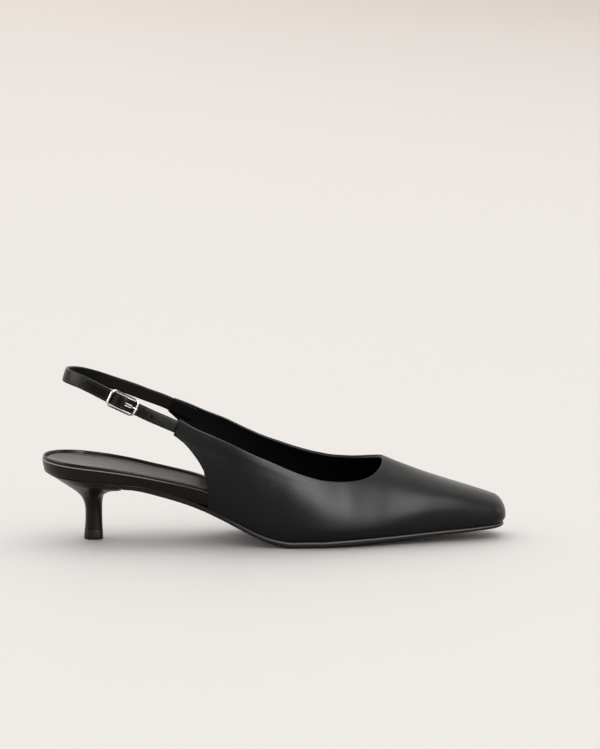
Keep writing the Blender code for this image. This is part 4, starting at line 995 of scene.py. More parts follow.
def bed_loop(level, shrink=0.0, tuck=0.0):
    def half(side, s):
        return bed_half(side, s) - bed_tuck(side, s) * tuck
    loop = loop_points(half, level, COUNT, BED_R, 0.0, BED_END, toe_n=TOE_N)
    if tuck:
        back = HALF_SEAT * 0.06 * tuck
        for p in loop:
            s = (p.x - X0) / LENGTH
            p.x += back * max(0.0, 1 - s / BED_R[0])
    return offset_loop(loop, shrink, COUNT) if shrink else loop


def rim_level(s):
    return SEAT_HEIGHT * f_rim(s)


def dish(p, t, left, right):
    """The sock and the bed under it are hollowed a little for the heel."""
    s = (p.x - X0) / LENGTH
    depth = 0.0016 * min(1.0, max(0.0, (0.45 - s) / 0.2))
    return -depth * (1 - t * t) * min(1.0, (right.y - left.y) / 0.03)


def build_footbed(surface):
    def part_way(t):
        return lambda s: bed_base(s) + (rim_level(s) - bed_base(s)) * t

    loops = [bed_loop(bed_base, 0.0006, 1.0), bed_loop(lambda s: bed_base(s) + 0.0003, 0.0002, 0.97),
             bed_loop(lambda s: bed_base(s) + 0.0006, 0.0, 0.93), bed_loop(part_way(0.35), 0.0, 0.50),
             bed_loop(part_way(0.55), 0.0, 0.28), bed_loop(part_way(0.70), 0.0, 0.13),
             bed_loop(lambda s: rim_level(s) - 0.0024, 0.0, 0.02)]
    # the band's skived top edge, as a narrow ledge under the piping; its first two loops carry a painted
    # highlight
    ledge = len(loops)
    loops += [bed_loop(lambda s: rim_level(s) - 0.0021, 0.00006, 0.0),
              bed_loop(lambda s: rim_level(s) - 0.00185, 0.00040, 0.0),
              bed_loop(lambda s: rim_level(s) - 0.0020, 0.00060, 0.0)]
    # the piping, as a tall half round
    for k in range(1, 9):
        a = math.pi * k / 9
        inward = 0.00105 - 0.00060 * math.cos(a)
        loops.append(bed_loop(lambda s, a=a: rim_level(s) - 0.0012 * (1 - math.sin(a) ** 0.7), inward, 0.0))
    loops += [bed_loop(lambda s: rim_level(s) - 0.0013, RIM_WIDTH, 0.0),
              bed_loop(lambda s: rim_level(s) - RIM_DEPTH - SOCK_DROP, RIM_WIDTH + 0.0002, 0.0)]
    return slab("footbed_wrapped", loops, dish, flat, [surface], painted_highlight=(ledge, ledge + 1))


def build_sock(surface):
    inset = RIM_WIDTH + 0.0002 + GAP
    tops = ((0.0, 0.0011), (0.00015, 0.0009), (0.0005, 0.00078), (0.0010, 0.00075),
            # a pressed line follows the sock's edge
            (0.0026, 0.00080), (0.0029, 0.00098), (0.0032, 0.00082))
    loops = [bed_loop(lambda s: rim_level(s) - RIM_DEPTH - SOCK_DROP + GAP, inset, 0.0)]
    loops += [bed_loop(lambda s, down=down: rim_level(s) - down - SOCK_DROP, inset + inward, 0.0)
              for inward, down in tops]
    return slab("sock_leather", loops, dish, dish, [surface], lanes=12, sharp=60.0)


def sole_stations(start, end, radius):
    """The footbed's own stations behind the toe, so that both curve alike, then the toe's."""
    bed = [station(k / COUNT, BED_R[0], BED_R[1], 0.0, BED_END) for k in range(COUNT + 1)]
    turn = 0.90
    body = [start] + [s for s in bed if start + 0.004 < s < turn]
    last, straight = body[-1], end - radius - body[-1]
    whole = straight + radius * 1.2
    for k in range(1, 12):
        d = whole * k / 11
        if d < straight:
            body.append(last + d)
        else:
            body.append(end - radius + radius * math.sin((d - straight) / (radius * 1.2) * math.pi / 2))
    body[-1] = end
    return body


def sole_ring(amount, level, radius, start, end):
    """Outline with a straight back edge (at the heel breast) and a round toe."""
    end = end - amount / LENGTH
    left, right = [], []
    for s in sole_stations(start, end, radius):
        share = cap(s, 0, radius, start, end, TOE_N)
        mid = middle(s)
        row = []
        for side in (-1, 1):
            half = HALF_BALL * f_sole[side](s) - amount
            y = mid + side * max(half - side * mid, 0.0) * share
            row.append(Vector((X0 + LENGTH * s, y, level(s))))
        left.append(row[0])
        right.append(row[1])
    return left, right


# the edge's painted highlight shows only in front of the covered shank: s, share
SHANK_FADE = [(0.16, 0.0), (0.37, 0.0), (0.43, 0.6), (0.50, 1.0), (1.00, 1.0)]


def build_outsole(surface):
    start, end, radius = 0.16845, 0.9965, 0.0345
    # inset, height as a share of the thickness, paleness of the painted highlight: grooved once, with a rounded
    # edge on top
    edge = ((0.0009, 0.0, 0), (0.0006, 0.06, 0), (0.0003, 0.14, 0), (0.0001, 0.24, 0), (0.0, 0.40, 0),
            (0.0, 0.56, 0), (0.00022, 0.61, 0), (0.0001, 0.66, 0.6), (0.0, 0.74, 1), (0.00005, 0.86, 1),
            (0.0002, 0.95, 1), (0.0005, 1.0, 1))
    rings = [sole_ring(inset, lambda s, up=up: sole_base(s) + (sole_top(s) - sole_base(s)) * up,
                       radius, start, end) for inset, up, _ in edge]
    verts, faces, grids, edge_highlight = [], [], [], []
    lanes = 10
    covered = spline(SHANK_FADE, 1)
    # on the shank the edge is plain, and its lower corner only a little eased
    for (left, right), (inset, up, _) in zip(rings, edge):
        for p, q in zip(left, right):
            relief = inset * (1 - covered((p.x - X0) / LENGTH)) * (0.55 if up < 0.5 else 1.0)
            p.y -= relief
            q.y += relief
    paler = [row[2] for row in edge]
    for which, (left, right) in enumerate(rings):
        ids = []
        for p, q in zip(left, right):
            row = []
            for j in range(lanes + 1):
                if j in (0, lanes) or which in (0, len(rings) - 1):
                    row.append(len(verts))
                    verts.append(p.lerp(q, j / lanes))
                    edge_highlight.append(paler[which] * covered((p.x - X0) / LENGTH))
                else:
                    row.append(None)
            ids.append(row)
        grids.append(ids)
    for a, b in zip(grids, grids[1:]):
        for side in (0, -1):
            for r in range(len(a) - 1):
                faces.append((a[r][side], a[r + 1][side], b[r + 1][side], b[r][side]))
    for ids in (grids[0], grids[-1]):
        for r, q in zip(ids, ids[1:]):
            for j in range(lanes):
                faces.append((r[j], r[j + 1], q[j + 1], q[j]))
    back = [g[0] for g in grids]
    outline = list(back[0]) + [b[-1] for b in back[1:-1]] + list(reversed(back[-1]))
    faces.append(tuple(outline + [b[0] for b in reversed(back[1:-1])]))
    return finish_mesh("outsole_unit", verts, faces, [surface], values={"edge_highlight": edge_highlight}, sharp=35.0)


def heel_ring(row, count=64):
    h, back, front, half, n, tilt = row
    slope = SEAT_HEIGHT * (SEAT_BASE[-1][1] - SEAT_BASE[0][1]) / (SEAT_BASE[-1][0] * LENGTH)
    mid, reach = (back + front) / 2 * LENGTH, (front - back) / 2 * LENGTH
    points = []
    for k in range(count):
        a = 2 * math.pi * k / count
        c, v = math.cos(a), math.sin(a)
        square = n if c > 0 else n + 24.0 * tilt ** 2
        x = mid - reach * math.copysign(abs(c) ** (2 / square), c)
        y = -HALF_SEAT * half * math.copysign(abs(v) ** (2 / square), v)
        if c < 0:
            y *= 1 - 0.24 * abs(c) * tilt ** 2
        points.append(Vector((X0 + x, y, SEAT_HEIGHT * h + slope * (x - mid) * tilt)))
    return points


def ring_solid(name, rings, surface, sharp=40.0):
    verts, faces = [], []
    n = len(rings[0])
    for ring in rings:
        verts.extend(ring)
    for r in range(len(rings) - 1):
        for k in range(n):
            q = (k + 1) % n
            faces.append((r * n + k, r * n + q, (r + 1) * n + q, (r + 1) * n + k))
    for base in (0, (len(rings) - 1) * n):
        half = n // 2
        rows = [[base]] + [[base + k, base + n - k] for k in range(1, half)] + [[base + half]]
        for r, q in zip(rows, rows[1:]):
            faces.append(tuple(dict.fromkeys(r + q[::-1])))
    return finish_mesh(name, verts, faces, [surface], sharp=sharp)


HEEL_COLUMNS = [spline(HEEL, c) for c in range(1, 6)]


def heel_row(h):
    return (h, *[f(h) for f in HEEL_COLUMNS])


def build_heel(surface):
    low, high = (TIP_HEIGHT + GAP) / SEAT_HEIGHT, HEEL[-1][0]
    rings = [heel_ring(heel_row(low + (HEEL[-2][0] - low) * k / 60)) for k in range(61)]
    for depth, shrink in ((0.0008, 0.0), (GAP, 0.00005)):
        ring = heel_ring(heel_row(high))
        for p in ring:
            p.z = SEAT_HEIGHT * f_seat((p.x - X0) / LENGTH) - depth
            p.y *= 1 - shrink / HALF_SEAT
        rings.append(ring)
    return ring_solid("heel_covered", rings, surface, 35.0)


def build_top_piece(surface):
    tip = TIP_HEIGHT / SEAT_HEIGHT
    rings = []
    for h, shrink in ((0.0, 0.94), (0.002, 0.965), (0.008, 0.99), (0.3 * tip, 1.0), (0.93 * tip, 1.0),
                      (tip, 0.985)):
        row = list(heel_row(h))
        mid, reach = (row[1] + row[2]) / 2, (row[2] - row[1]) / 2
        row[1], row[2] = mid - reach * shrink, mid + reach * shrink
        row[3] *= shrink
        rings.append(heel_ring(tuple(row)))
    return ring_solid("top_piece_tip", rings, surface, 30.0)


# Straps and buckle


def strap_curve(t):
    """Middle of the strap at t: -1 outer tab, 0 back of the heel, 1 inner tab."""
    table = STRAP_OUTER if t < 0 else STRAP_INNER
    side = -1 if t < 0 else 1
    a = abs(t) * (len(table) - 1)
    k = min(int(a), len(table) - 2)

    def at(i, c):
        if i < 0:
            row = (STRAP_INNER if side < 0 else STRAP_OUTER)[-i]
            return -row[c] if c == 1 else row[c]
        if i >= len(table):
            return 2 * table[-1][c] - table[-2][c]
        return table[i][c]

    f = a - k
    out = []
    for c in range(3):
        p0, p1, p2, p3 = (at(k + d, c) for d in (-1, 0, 1, 2))
        out.append(p1 + 0.5 * f * (p2 - p0 + f * (2 * p0 - 5 * p1 + 4 * p2 - p3
                                                  + f * (3 * (p1 - p2) + p3 - p0))))
    return Vector((X0 + LENGTH * out[0], side * STRAP_SPREAD * out[1], SEAT_HEIGHT * out[2]))


def strap_table():
    """Even arc-length samples of the strap's middle line with its frame."""
    fine = [strap_curve(-1 + 2 * k / STRAP_FINE) for k in range(STRAP_FINE + 1)]
    run = [0.0]
    for a, b in zip(fine, fine[1:]):
        run.append(run[-1] + (b - a).length)
    return fine, run


FINE, RUN = strap_table()


def strap_point(d):
    k = int(np.searchsorted(RUN, d)) - 1
    k = min(max(k, 0), len(RUN) - 2)
    f = (d - RUN[k]) / (RUN[k + 1] - RUN[k])
    return FINE[k].lerp(FINE[k + 1], f)


def strap_frame(d):
    """Point, direction (towards the inner tab), width direction, outward direction."""
    p = strap_point(d)
    e = 0.0015
    t = (strap_point(d + e) - strap_point(d - e)).normalized()
    # generators lean forward over the back of the heel and a little inward at the sides
    axis = Vector((0.30, 0.0, 1.0)).normalized()
    lean = Vector((0.0, -p.y / STRAP_SPREAD * 0.13, 0.0))
    w = axis + lean
    w = (w - t * w.dot(t)).normalized()
    out = t.cross(w).normalized()
    if out.dot(Vector((p.x - (X0 + 0.045), p.y, 0.0))) < 0:
        out = -out
    return p, t, w, out


def find_d(s, side):
    x = X0 + LENGTH * s
    ks = [k for k in range(STRAP_FINE + 1) if (FINE[k].y < 0) == (side < 0)]
    return RUN[min(ks, key=lambda k: abs(FINE[k].x - x))]


D_BUCKLE = find_d(0.1680, -1)

BAR_OFF = 0.0015
LOOP_THICK = 0.0008
LOOP_R = BAR_WIRE + GAP + LOOP_THICK / 2
FRONT_THICK = 0.0013
TIP_REACH = 0.0245       # the front strap ends this far behind the bar
LOOP_TAIL = 0.0045       # the back strap's folded end lies this far back over itself
LOOP_FALL = 0.0007       # and comes down this much towards it


def bar_frame():
    """Frame of the buckle: its middle, direction to the toe end, width and outward directions."""
    p, t, w, out = strap_frame(D_BUCKLE)
    return p, -t, w, out


def buckle_local(a, across, off):
    """a: towards the toe, from the bar."""
    p, t, w, out = bar_frame()
    return p + t * a + w * across + out * off


def to_local(point):
    p, t, w, out = bar_frame()
    v = point - p
    return v.dot(t), v.dot(w), v.dot(out)


def front_offset(a):
    """Height of the front strap over the back strap's middle line, along the buckle."""
    over = BAR_OFF + LOOP_R + LOOP_THICK / 2 + GAP + FRONT_THICK / 2 + 0.0001
    on_back = STRAP_THICK / 2 + GAP + FRONT_THICK / 2 + 0.0002
    knots = [(-0.0300, on_back), (-0.0100, on_back), (-0.0068, on_back + 0.0006), (-0.0042, over - 0.0008),
             (-0.0022, over - 0.0001), (0.0, over + 0.0001), (0.0018, over - 0.0002), (0.0036, 0.0022),
             (0.0058, 0.0003), (0.0074, 0.0), (0.0100, 0.0), (0.0600, 0.0)]
    x = [k[0] for k in knots]
    y = [k[1] for k in knots]
    return float(np.interp(a, x, y))


def smooth_offset(a):
    return sum(front_offset(a + d) * wgt for d, wgt in
               ((-0.0008, 0.25), (0.0, 0.5), (0.0008, 0.25)))


def rail_offset(a):
    """Height of the frame's middle along its length: low over the front strap, high at the back."""
    r = BUCKLE_WIRE
    front = FRONT_THICK / 2 + GAP + r + 0.0001
    back = smooth_offset(-BUCKLE_LENGTH / 2 + r) + FRONT_THICK / 2 + GAP + r + 0.0001
    reach = BUCKLE_LENGTH / 2 - r
    t = (a + reach) / (2 * reach)
    straight = back + (front - back) * t
    dip = (BAR_OFF - (front + back) / 2)
    return straight + dip * 4 * t * (1 - t)


def ribbon(name, path, width, surfaces, slot=None, slot_half=0.0011, covered=0):
    """Flat strap with turned edges. path: (point, width direction, outward, thickness, share).

    The first covered steps, which lie inside the quarter, take the second surface.
    """
    chamfer = 0.00042
    verts, faces, rows, uvs = [], [], [], []
    run = 0.0
    for i, (p, w, out, thick, share) in enumerate(path):
        if i:
            run += (p - path[i - 1][0]).length
        h, t = width / 2 * share, thick / 2
        c = min(chamfer, t * 0.7)
        lane = min(slot_half, h * 0.5)
        rounds = [(math.sin(math.radians(a)), math.cos(math.radians(a))) for a in (0, 30, 60, 90)]
        side_up = [(h - c + c * x, t - c + c * y) for x, y in rounds]
        # the face is a little crowned between the turned edges
        crown = 0.00010 * min(1.0, thick / 0.0013)
        face = [(-h * 0.55, t + crown * 0.6), (-lane, t + crown),
                (lane, t + crown), (h * 0.55, t + crown * 0.6)]
        top = [(-x, y) for x, y in reversed(side_up)] + face + side_up
        bottom = [(x, -y) for x, y in reversed(side_up)] + [(-a, -t) for a, b in face]
        bottom += [(-x, -y) for x, y in side_up]
        section = top + bottom
        rows.append([len(verts) + k for k in range(len(section))])
        verts.extend(p + w * a + out * b for a, b in section)
        uvs.extend((run, a) for a, b in section)
    m = len(rows[0])
    upper_lane, lower_lane = 5, 5 + m // 2
    open_steps = set()
    for a, b in slot or []:
        open_steps.update(range(a, b))
    for i in range(len(rows) - 1):
        r, q = rows[i], rows[i + 1]
        for k in range(m):
            if i in open_steps and k in (upper_lane, lower_lane):
                continue
            n = (k + 1) % m
            faces.append((r[k], r[n], q[n], q[k]))
        if i in open_steps:
            u, l = upper_lane, lower_lane
            faces.append((r[u], q[u], q[l + 1], r[l + 1]))
            faces.append((r[u + 1], r[l], q[l], q[u + 1]))
            if i - 1 not in open_steps:
                faces.append((r[u], r[l + 1], r[l], r[u + 1]))
            if i + 1 not in open_steps:
                faces.append((q[u], q[u + 1], q[l], q[l + 1]))
    for r in (rows[0], rows[-1]):
        faces.append(tuple(r))
    # the covered steps take the second surface all round; on the back strap this near-black lining is partly
    # painted shade
    slots = [1 if min(face) // m < covered else 0 for face in faces]
    inner = {"from_edge": [0.02] * len(verts)}
    return finish_mesh(name, verts, faces, surfaces, slots, uvs, inner, sharp=50.0)


DOUBLING = 0.0003        # a second layer at the very back
D_DOUBLED = find_d(0.072, -1)


def back_strap_path():
    path = []
    start, stop = find_d(0.330, 1), D_BUCKLE + LOOP_TAIL
    steps = 110
    for k in range(steps + 1):
        d = start + (stop - start) * k / steps
        p, _, w, out = strap_frame(d)
        near = min(max((D_BUCKLE + 0.0115 - d) / 0.006, 0.0), 1.0)
        thick = STRAP_THICK + (LOOP_THICK - STRAP_THICK) * near * near * (3 - 2 * near)
        # behind the buckle the strap is doubled: the layer's end shows as a step
        thick += DOUBLING * min(max((d - D_DOUBLED) / 0.0004, 0.0), 1.0)
        path.append((p, w, out, thick, 1.0))
    _, t0, w0, o0 = bar_frame()
    under = BAR_OFF - LOOP_R
    last_a, _, last_o = to_local(path[-1][0])
    for a in (-LOOP_TAIL * 2 / 3, -LOOP_TAIL / 3):
        f = (a - last_a) / (0 - last_a)
        path.append((buckle_local(a, 0, last_o + (under - last_o) * f), w0, o0, LOOP_THICK, 1.0))
    first_slot = len(path) - 2
    for k in range(0, 14):
        ang = -math.pi / 2 + math.pi * k / 13
        pos = buckle_local(LOOP_R * math.cos(ang), 0, BAR_OFF + LOOP_R * math.sin(ang))
        radial = (t0 * math.cos(ang) + o0 * math.sin(ang)).normalized()
        path.append((pos, w0, -radial, LOOP_THICK, 1.0))
    last_slot = len(path) + 1
    over = BAR_OFF + LOOP_R
    for back, fall in ((1 / 3, 1 / 7), (2 / 3, 4 / 7), (1, 1)):
        path.append((buckle_local(-LOOP_TAIL * back, 0, over - LOOP_FALL * fall), w0, -o0, LOOP_THICK, 1.0))
    return path, (first_slot, last_slot)


def front_strap_path(step=0.0006):
    path, slot = [], []
    start, stop = find_d(0.325, -1), D_BUCKLE + TIP_REACH
    marks = list(np.arange(start, stop - step * 0.5, step)) + [stop]
    for i, d in enumerate(marks):
        a = D_BUCKLE - d
        p, t, w, out = strap_frame(d)
        left = TIP_REACH + a
        share = max(0.45, 1 - ((0.0024 - left) / 0.0036) ** 2) if left < 0.0024 else 1.0
        path.append((p + out * smooth_offset(a), w, out, FRONT_THICK if a < 0.012 else STRAP_THICK, share))
        if 0.0012 < a < 0.0060:
            slot.append(i)
    fixed = []
    for i, (p, w, out, thick, share) in enumerate(path):
        a, b = path[max(i - 1, 0)][0], path[min(i + 1, len(path) - 1)][0]
        t = (b - a).normalized()
        w2 = (w - t * w.dot(t)).normalized()
        o2 = t.cross(w2).normalized()
        fixed.append((p, w2, o2 if o2.dot(out) > 0 else -o2, thick, share))
    return fixed, (slot[0], slot[-1]), marks


def tube(name, centre, radius, closed, surface, count=16, normal=None, painted_shade=None):
    """Round wire along points; normal is a direction kept across it, and the last argument gives the painted
    shade at each point.
    """
    verts, faces = [], []
    n = len(centre)
    for i, p in enumerate(centre):
        a = centre[(i - 1) % n] if closed or i else centre[0]
        b = centre[(i + 1) % n] if closed or i < n - 1 else centre[-1]
        t = (b - a).normalized()
        u = (normal - t * normal.dot(t)).normalized()
        v = t.cross(u)
        r = radius[i] if isinstance(radius, list) else radius
        for k in range(count):
            ang = 2 * math.pi * k / count
            verts.append(p + u * (r * math.cos(ang)) + v * (r * math.sin(ang)))
    spans = n if closed else n - 1
    for i in range(spans):
        j = (i + 1) % n
        for k in range(count):
            q = (k + 1) % count
            faces.append((i * count + k, i * count + q, j * count + q, j * count + k))
    if not closed:
        faces.append(tuple(range(count))[::-1])
        faces.append(tuple((n - 1) * count + k for k in range(count)))
    values = {"painted_shade": [painted_shade[v // count] if painted_shade else 0.0 for v in range(len(verts))]}
    return finish_mesh(name, verts, faces, [surface], values=values, sharp=50.0)


def resample(points, count):
    """A smooth run of count + 1 points through the given ones."""
    knots = [0.0]
    for a, b in zip(points, points[1:]):
        knots.append(knots[-1] + math.dist(a, b))
    columns = [spline(list(zip(knots, column)), 1) for column in zip(*points)]
    at = np.linspace(0, knots[-1], count + 1)
    return [tuple(f(float(d)) for f in columns) for d in at]


def build_buckle(surface):
    _, _, w0, o0 = bar_frame()
    r = BUCKLE_WIRE
    reach, across = BUCKLE_LENGTH / 2 - r, BUCKLE_WIDTH / 2 - r
    corner = 0.0022
    frame_points = []
    corners = ((reach - corner, across - corner, 0), (-reach + corner, across - corner, 90),
               (-reach + corner, -across + corner, 180), (reach - corner, -across + corner, 270))
    plan = [(cx + corner * math.cos(math.radians(start + 90 * k / 10)),
             cy + corner * math.sin(math.radians(start + 90 * k / 10)))
            for cx, cy, start in corners for k in range(11)]
    for i, (x, y) in enumerate(plan):
        nx, ny = plan[(i + 1) % len(plan)]
        extra = int(math.hypot(nx - x, ny - y) / 0.0008)
        for k in range(extra + 1):
            a, b = x + (nx - x) * k / (extra + 1), y + (ny - y) * k / (extra + 1)
            bow = 0.0005 * (1 - (b / across) ** 2) * (1 if a > reach - 0.001 else 0)
            frame_points.append(buckle_local(a + bow, b, rail_offset(a)))
    # the long rails are finer than the two ends and carry painted shade
    ends = [min(max((abs(to_local(p)[0]) - reach * 0.62) / (reach * 0.28), 0.0), 1.0) for p in frame_points]
    pieces = [tube("buckle_rim", frame_points, [r * (0.78 + 0.22 * e) for e in ends], True, surface, 16, o0,
                   [0.92 * (1 - e) for e in ends])]
    half = across - r - GAP
    bar = [buckle_local(0, -half + 2 * half * k / 8, BAR_OFF) for k in range(9)]
    pieces.append(tube("buckle_crossbar", bar, BAR_WIRE, False, surface, 16, o0))
    hook = BAR_WIRE + GAP + PRONG_WIRE
    tip_off = rail_offset(reach) + BUCKLE_WIRE + GAP + PRONG_WIRE + 0.0001
    points = [(hook * math.cos(math.radians(a)), BAR_OFF + hook * math.sin(math.radians(a)))
              for a in (200, 178, 156, 134, 112, 90)]
    # from the bar to the front rail: share of the way, height
    points += [(reach * 0.18, BAR_OFF + hook * 1.083), (reach * 0.365, BAR_OFF + hook * 1.167),
               (reach * 0.547, BAR_OFF * 2), (reach * 0.73, tip_off + GAP / 3), (reach, tip_off),
               (reach + PRONG_TIP, tip_off - GAP)]
    fine = resample(points, 44)
    radii = [PRONG_WIRE] * (len(fine) - 4) + [PRONG_WIRE * k for k in (0.97, 0.9, 0.75, 0.5)]
    # painted shade along the pin, fading out just behind the front rail
    tone_and_painted_shade = [0.92 * min(1.0, max(0.0, (reach * 0.85 - a) / (reach * 0.15))) for a, b in fine]
    shank = [buckle_local(a, 0, b) for a, b in fine]
    pieces.append(tube("buckle_pin", shank, radii, False, surface, 16, w0, tone_and_painted_shade))
    return pieces


# Repeats, made with Geometry Nodes


def stitch_tree():
    """Stitches along a line of points: a thread of set length, gap and radius, slightly uneven."""
    tree = bpy.data.node_groups.new("Stitches along a line", "GeometryNodeTree")
    face = tree.interface
    face.new_socket("Geometry", in_out="INPUT", socket_type="NodeSocketGeometry")
    for name, default in (("Pitch", 0.0021), ("Stitch length", 0.0016), ("Thread radius", 0.00016)):
        socket = face.new_socket(name, in_out="INPUT", socket_type="NodeSocketFloat")
        socket.default_value = default
    face.new_socket("Seed", in_out="INPUT", socket_type="NodeSocketInt").default_value = 7
    face.new_socket("Thread", in_out="INPUT", socket_type="NodeSocketMaterial")
    face.new_socket("Geometry", in_out="OUTPUT", socket_type="NodeSocketGeometry")
    given = add_node(tree, "NodeGroupInput")
    line = add_node(tree, "GeometryNodeMeshToCurve", links={"Mesh": given.outputs["Geometry"]})
    points = add_node(tree, "GeometryNodeCurveToPoints", mode="LENGTH",
                      links={"Curve": line.outputs[0], "Length": given.outputs["Pitch"]})
    turn = add_node(tree, "FunctionNodeAlignRotationToVector", axis="Z",
                    links={"Vector": points.outputs["Tangent"]})
    ball = add_node(tree, "GeometryNodeMeshUVSphere", inputs={"Segments": 8, "Rings": 6, "Radius": 1.0})
    uneven = add_node(tree, "FunctionNodeRandomValue", data_type="FLOAT",
                      links={"Seed": given.outputs["Seed"]}, inputs={2: 0.90, 3: 1.08})
    half = add_node(tree, "ShaderNodeMath", operation="MULTIPLY",
                    links={0: given.outputs["Stitch length"], 1: uneven.outputs[1]})
    half = add_node(tree, "ShaderNodeMath", operation="MULTIPLY", links={0: half.outputs[0]}, inputs={1: 0.5})
    size = add_node(tree, "ShaderNodeCombineXYZ", links={0: given.outputs["Thread radius"],
                                                         1: given.outputs["Thread radius"], 2: half.outputs[0]})
    copies = add_node(tree, "GeometryNodeInstanceOnPoints",
                      links={"Points": points.outputs[0], "Instance": ball.outputs[0],
                             "Rotation": turn.outputs[0], "Scale": size.outputs[0]})
    real = add_node(tree, "GeometryNodeRealizeInstances", links={0: copies.outputs[0]})
    smooth = add_node(tree, "GeometryNodeSetShadeSmooth", links={0: real.outputs[0]})
    dressed = add_node(tree, "GeometryNodeSetMaterial", links={0: smooth.outputs[0],
                                                               "Material": given.outputs["Thread"]})
    add_node(tree, "NodeGroupOutput", links={0: dressed.outputs[0]})
    return tree


def run_tree(name, tree, verts, edges, vectors=None, **inputs):
    """A mesh line or points sent through a tree; the result is a plain mesh."""
    mesh = bpy.data.meshes.new(name)
    mesh.from_pydata([tuple(v) for v in verts], edges, [])
    for key, numbers in (vectors or {}).items():
        attribute = mesh.attributes.new(key, "FLOAT_VECTOR", "POINT")
        attribute.data.foreach_set("vector", np.array([tuple(v) for v in numbers], np.float32).ravel())
    thing = bpy.data.objects.new(name, mesh)
    bpy.context.scene.collection.objects.link(thing)
    modifier = thing.modifiers.new("nodes", "NODES")
    modifier.node_group = tree
    by_name = {item.name: item.identifier for item in tree.interface.items_tree
               if item.item_type == "SOCKET" and item.in_out == "INPUT"}
    for key, value in inputs.items():
        modifier[by_name[key.replace("_", " ")]] = value
    return settle(thing)


def hole_tree():
    """Punched holes at points: a dark dish, painted shade in place of an open hole, with a pressed ring round
    it, turned to the face.
    """
    tree = bpy.data.node_groups.new("Punched holes", "GeometryNodeTree")
    face = tree.interface
    face.new_socket("Geometry", in_out="INPUT", socket_type="NodeSocketGeometry")
    for name, default in (("Hole radius", 0.00065), ("Ring radius", 0.00016)):
        face.new_socket(name, in_out="INPUT", socket_type="NodeSocketFloat").default_value = default
    for name in ("Ring", "Hole"):
        face.new_socket(name, in_out="INPUT", socket_type="NodeSocketMaterial")
    face.new_socket("Geometry", in_out="OUTPUT", socket_type="NodeSocketGeometry")
    given = add_node(tree, "NodeGroupInput")
    points = add_node(tree, "GeometryNodeMeshToPoints", links={"Mesh": given.outputs["Geometry"]},
                      inputs={"Radius": 0.0001})
    out = add_node(tree, "GeometryNodeInputNamedAttribute", data_type="FLOAT_VECTOR", inputs={"Name": "out"})
    turn = add_node(tree, "FunctionNodeAlignRotationToVector", axis="Z", links={"Vector": out.outputs[0]})
    circle = add_node(tree, "GeometryNodeCurvePrimitiveCircle", inputs={"Resolution": 24},
                      links={"Radius": given.outputs["Hole radius"]})
    section = add_node(tree, "GeometryNodeCurvePrimitiveCircle", inputs={"Resolution": 8},
                       links={"Radius": given.outputs["Ring radius"]})
    ring = add_node(tree, "GeometryNodeCurveToMesh", links={"Curve": circle.outputs[0],
                                                            "Profile Curve": section.outputs[0]})
    disc = add_node(tree, "GeometryNodeMeshCylinder", links={"Radius": given.outputs["Hole radius"],
                                                             "Depth": given.outputs["Ring radius"]},
                    inputs={"Vertices": 24})
    dark = add_node(tree, "GeometryNodeStoreNamedAttribute", data_type="BOOLEAN", domain="FACE",
                    links={"Geometry": disc.outputs["Mesh"]}, inputs={"Name": "dark", "Value": True})
    both = tree.nodes.new("GeometryNodeJoinGeometry")
    tree.links.new(dark.outputs[0], both.inputs[0])
    tree.links.new(ring.outputs[0], both.inputs[0])
    copies = add_node(tree, "GeometryNodeInstanceOnPoints", links={
        "Points": points.outputs[0], "Instance": both.outputs[0], "Rotation": turn.outputs[0]})
    real = add_node(tree, "GeometryNodeRealizeInstances", links={0: copies.outputs[0]})
    smooth = add_node(tree, "GeometryNodeSetShadeSmooth", links={0: real.outputs[0]})
    whole = add_node(tree, "GeometryNodeSetMaterial", links={0: smooth.outputs[0],
                                                             "Material": given.outputs["Ring"]})
    inside = add_node(tree, "GeometryNodeInputNamedAttribute", data_type="BOOLEAN", inputs={"Name": "dark"})
    dressed = add_node(tree, "GeometryNodeSetMaterial", links={
        0: whole.outputs[0], "Selection": inside.outputs[0], "Material": given.outputs["Hole"]})
    add_node(tree, "NodeGroupOutput", links={0: dressed.outputs[0]})
    return tree


def chain(points):
    return points, [(k, k + 1) for k in range(len(points) - 1)]


def strap_lines(path, first, last, side, width, inset, sink):
    """Points on a strap's outer face, inset from one of its edges."""
    points = []
    for p, w, out, thick, share in path[first:last]:
        points.append(p + w * side * (width / 2 * share - inset) + out * (thick / 2 - sink))
    return points


# Settings, pieces and stage as operators


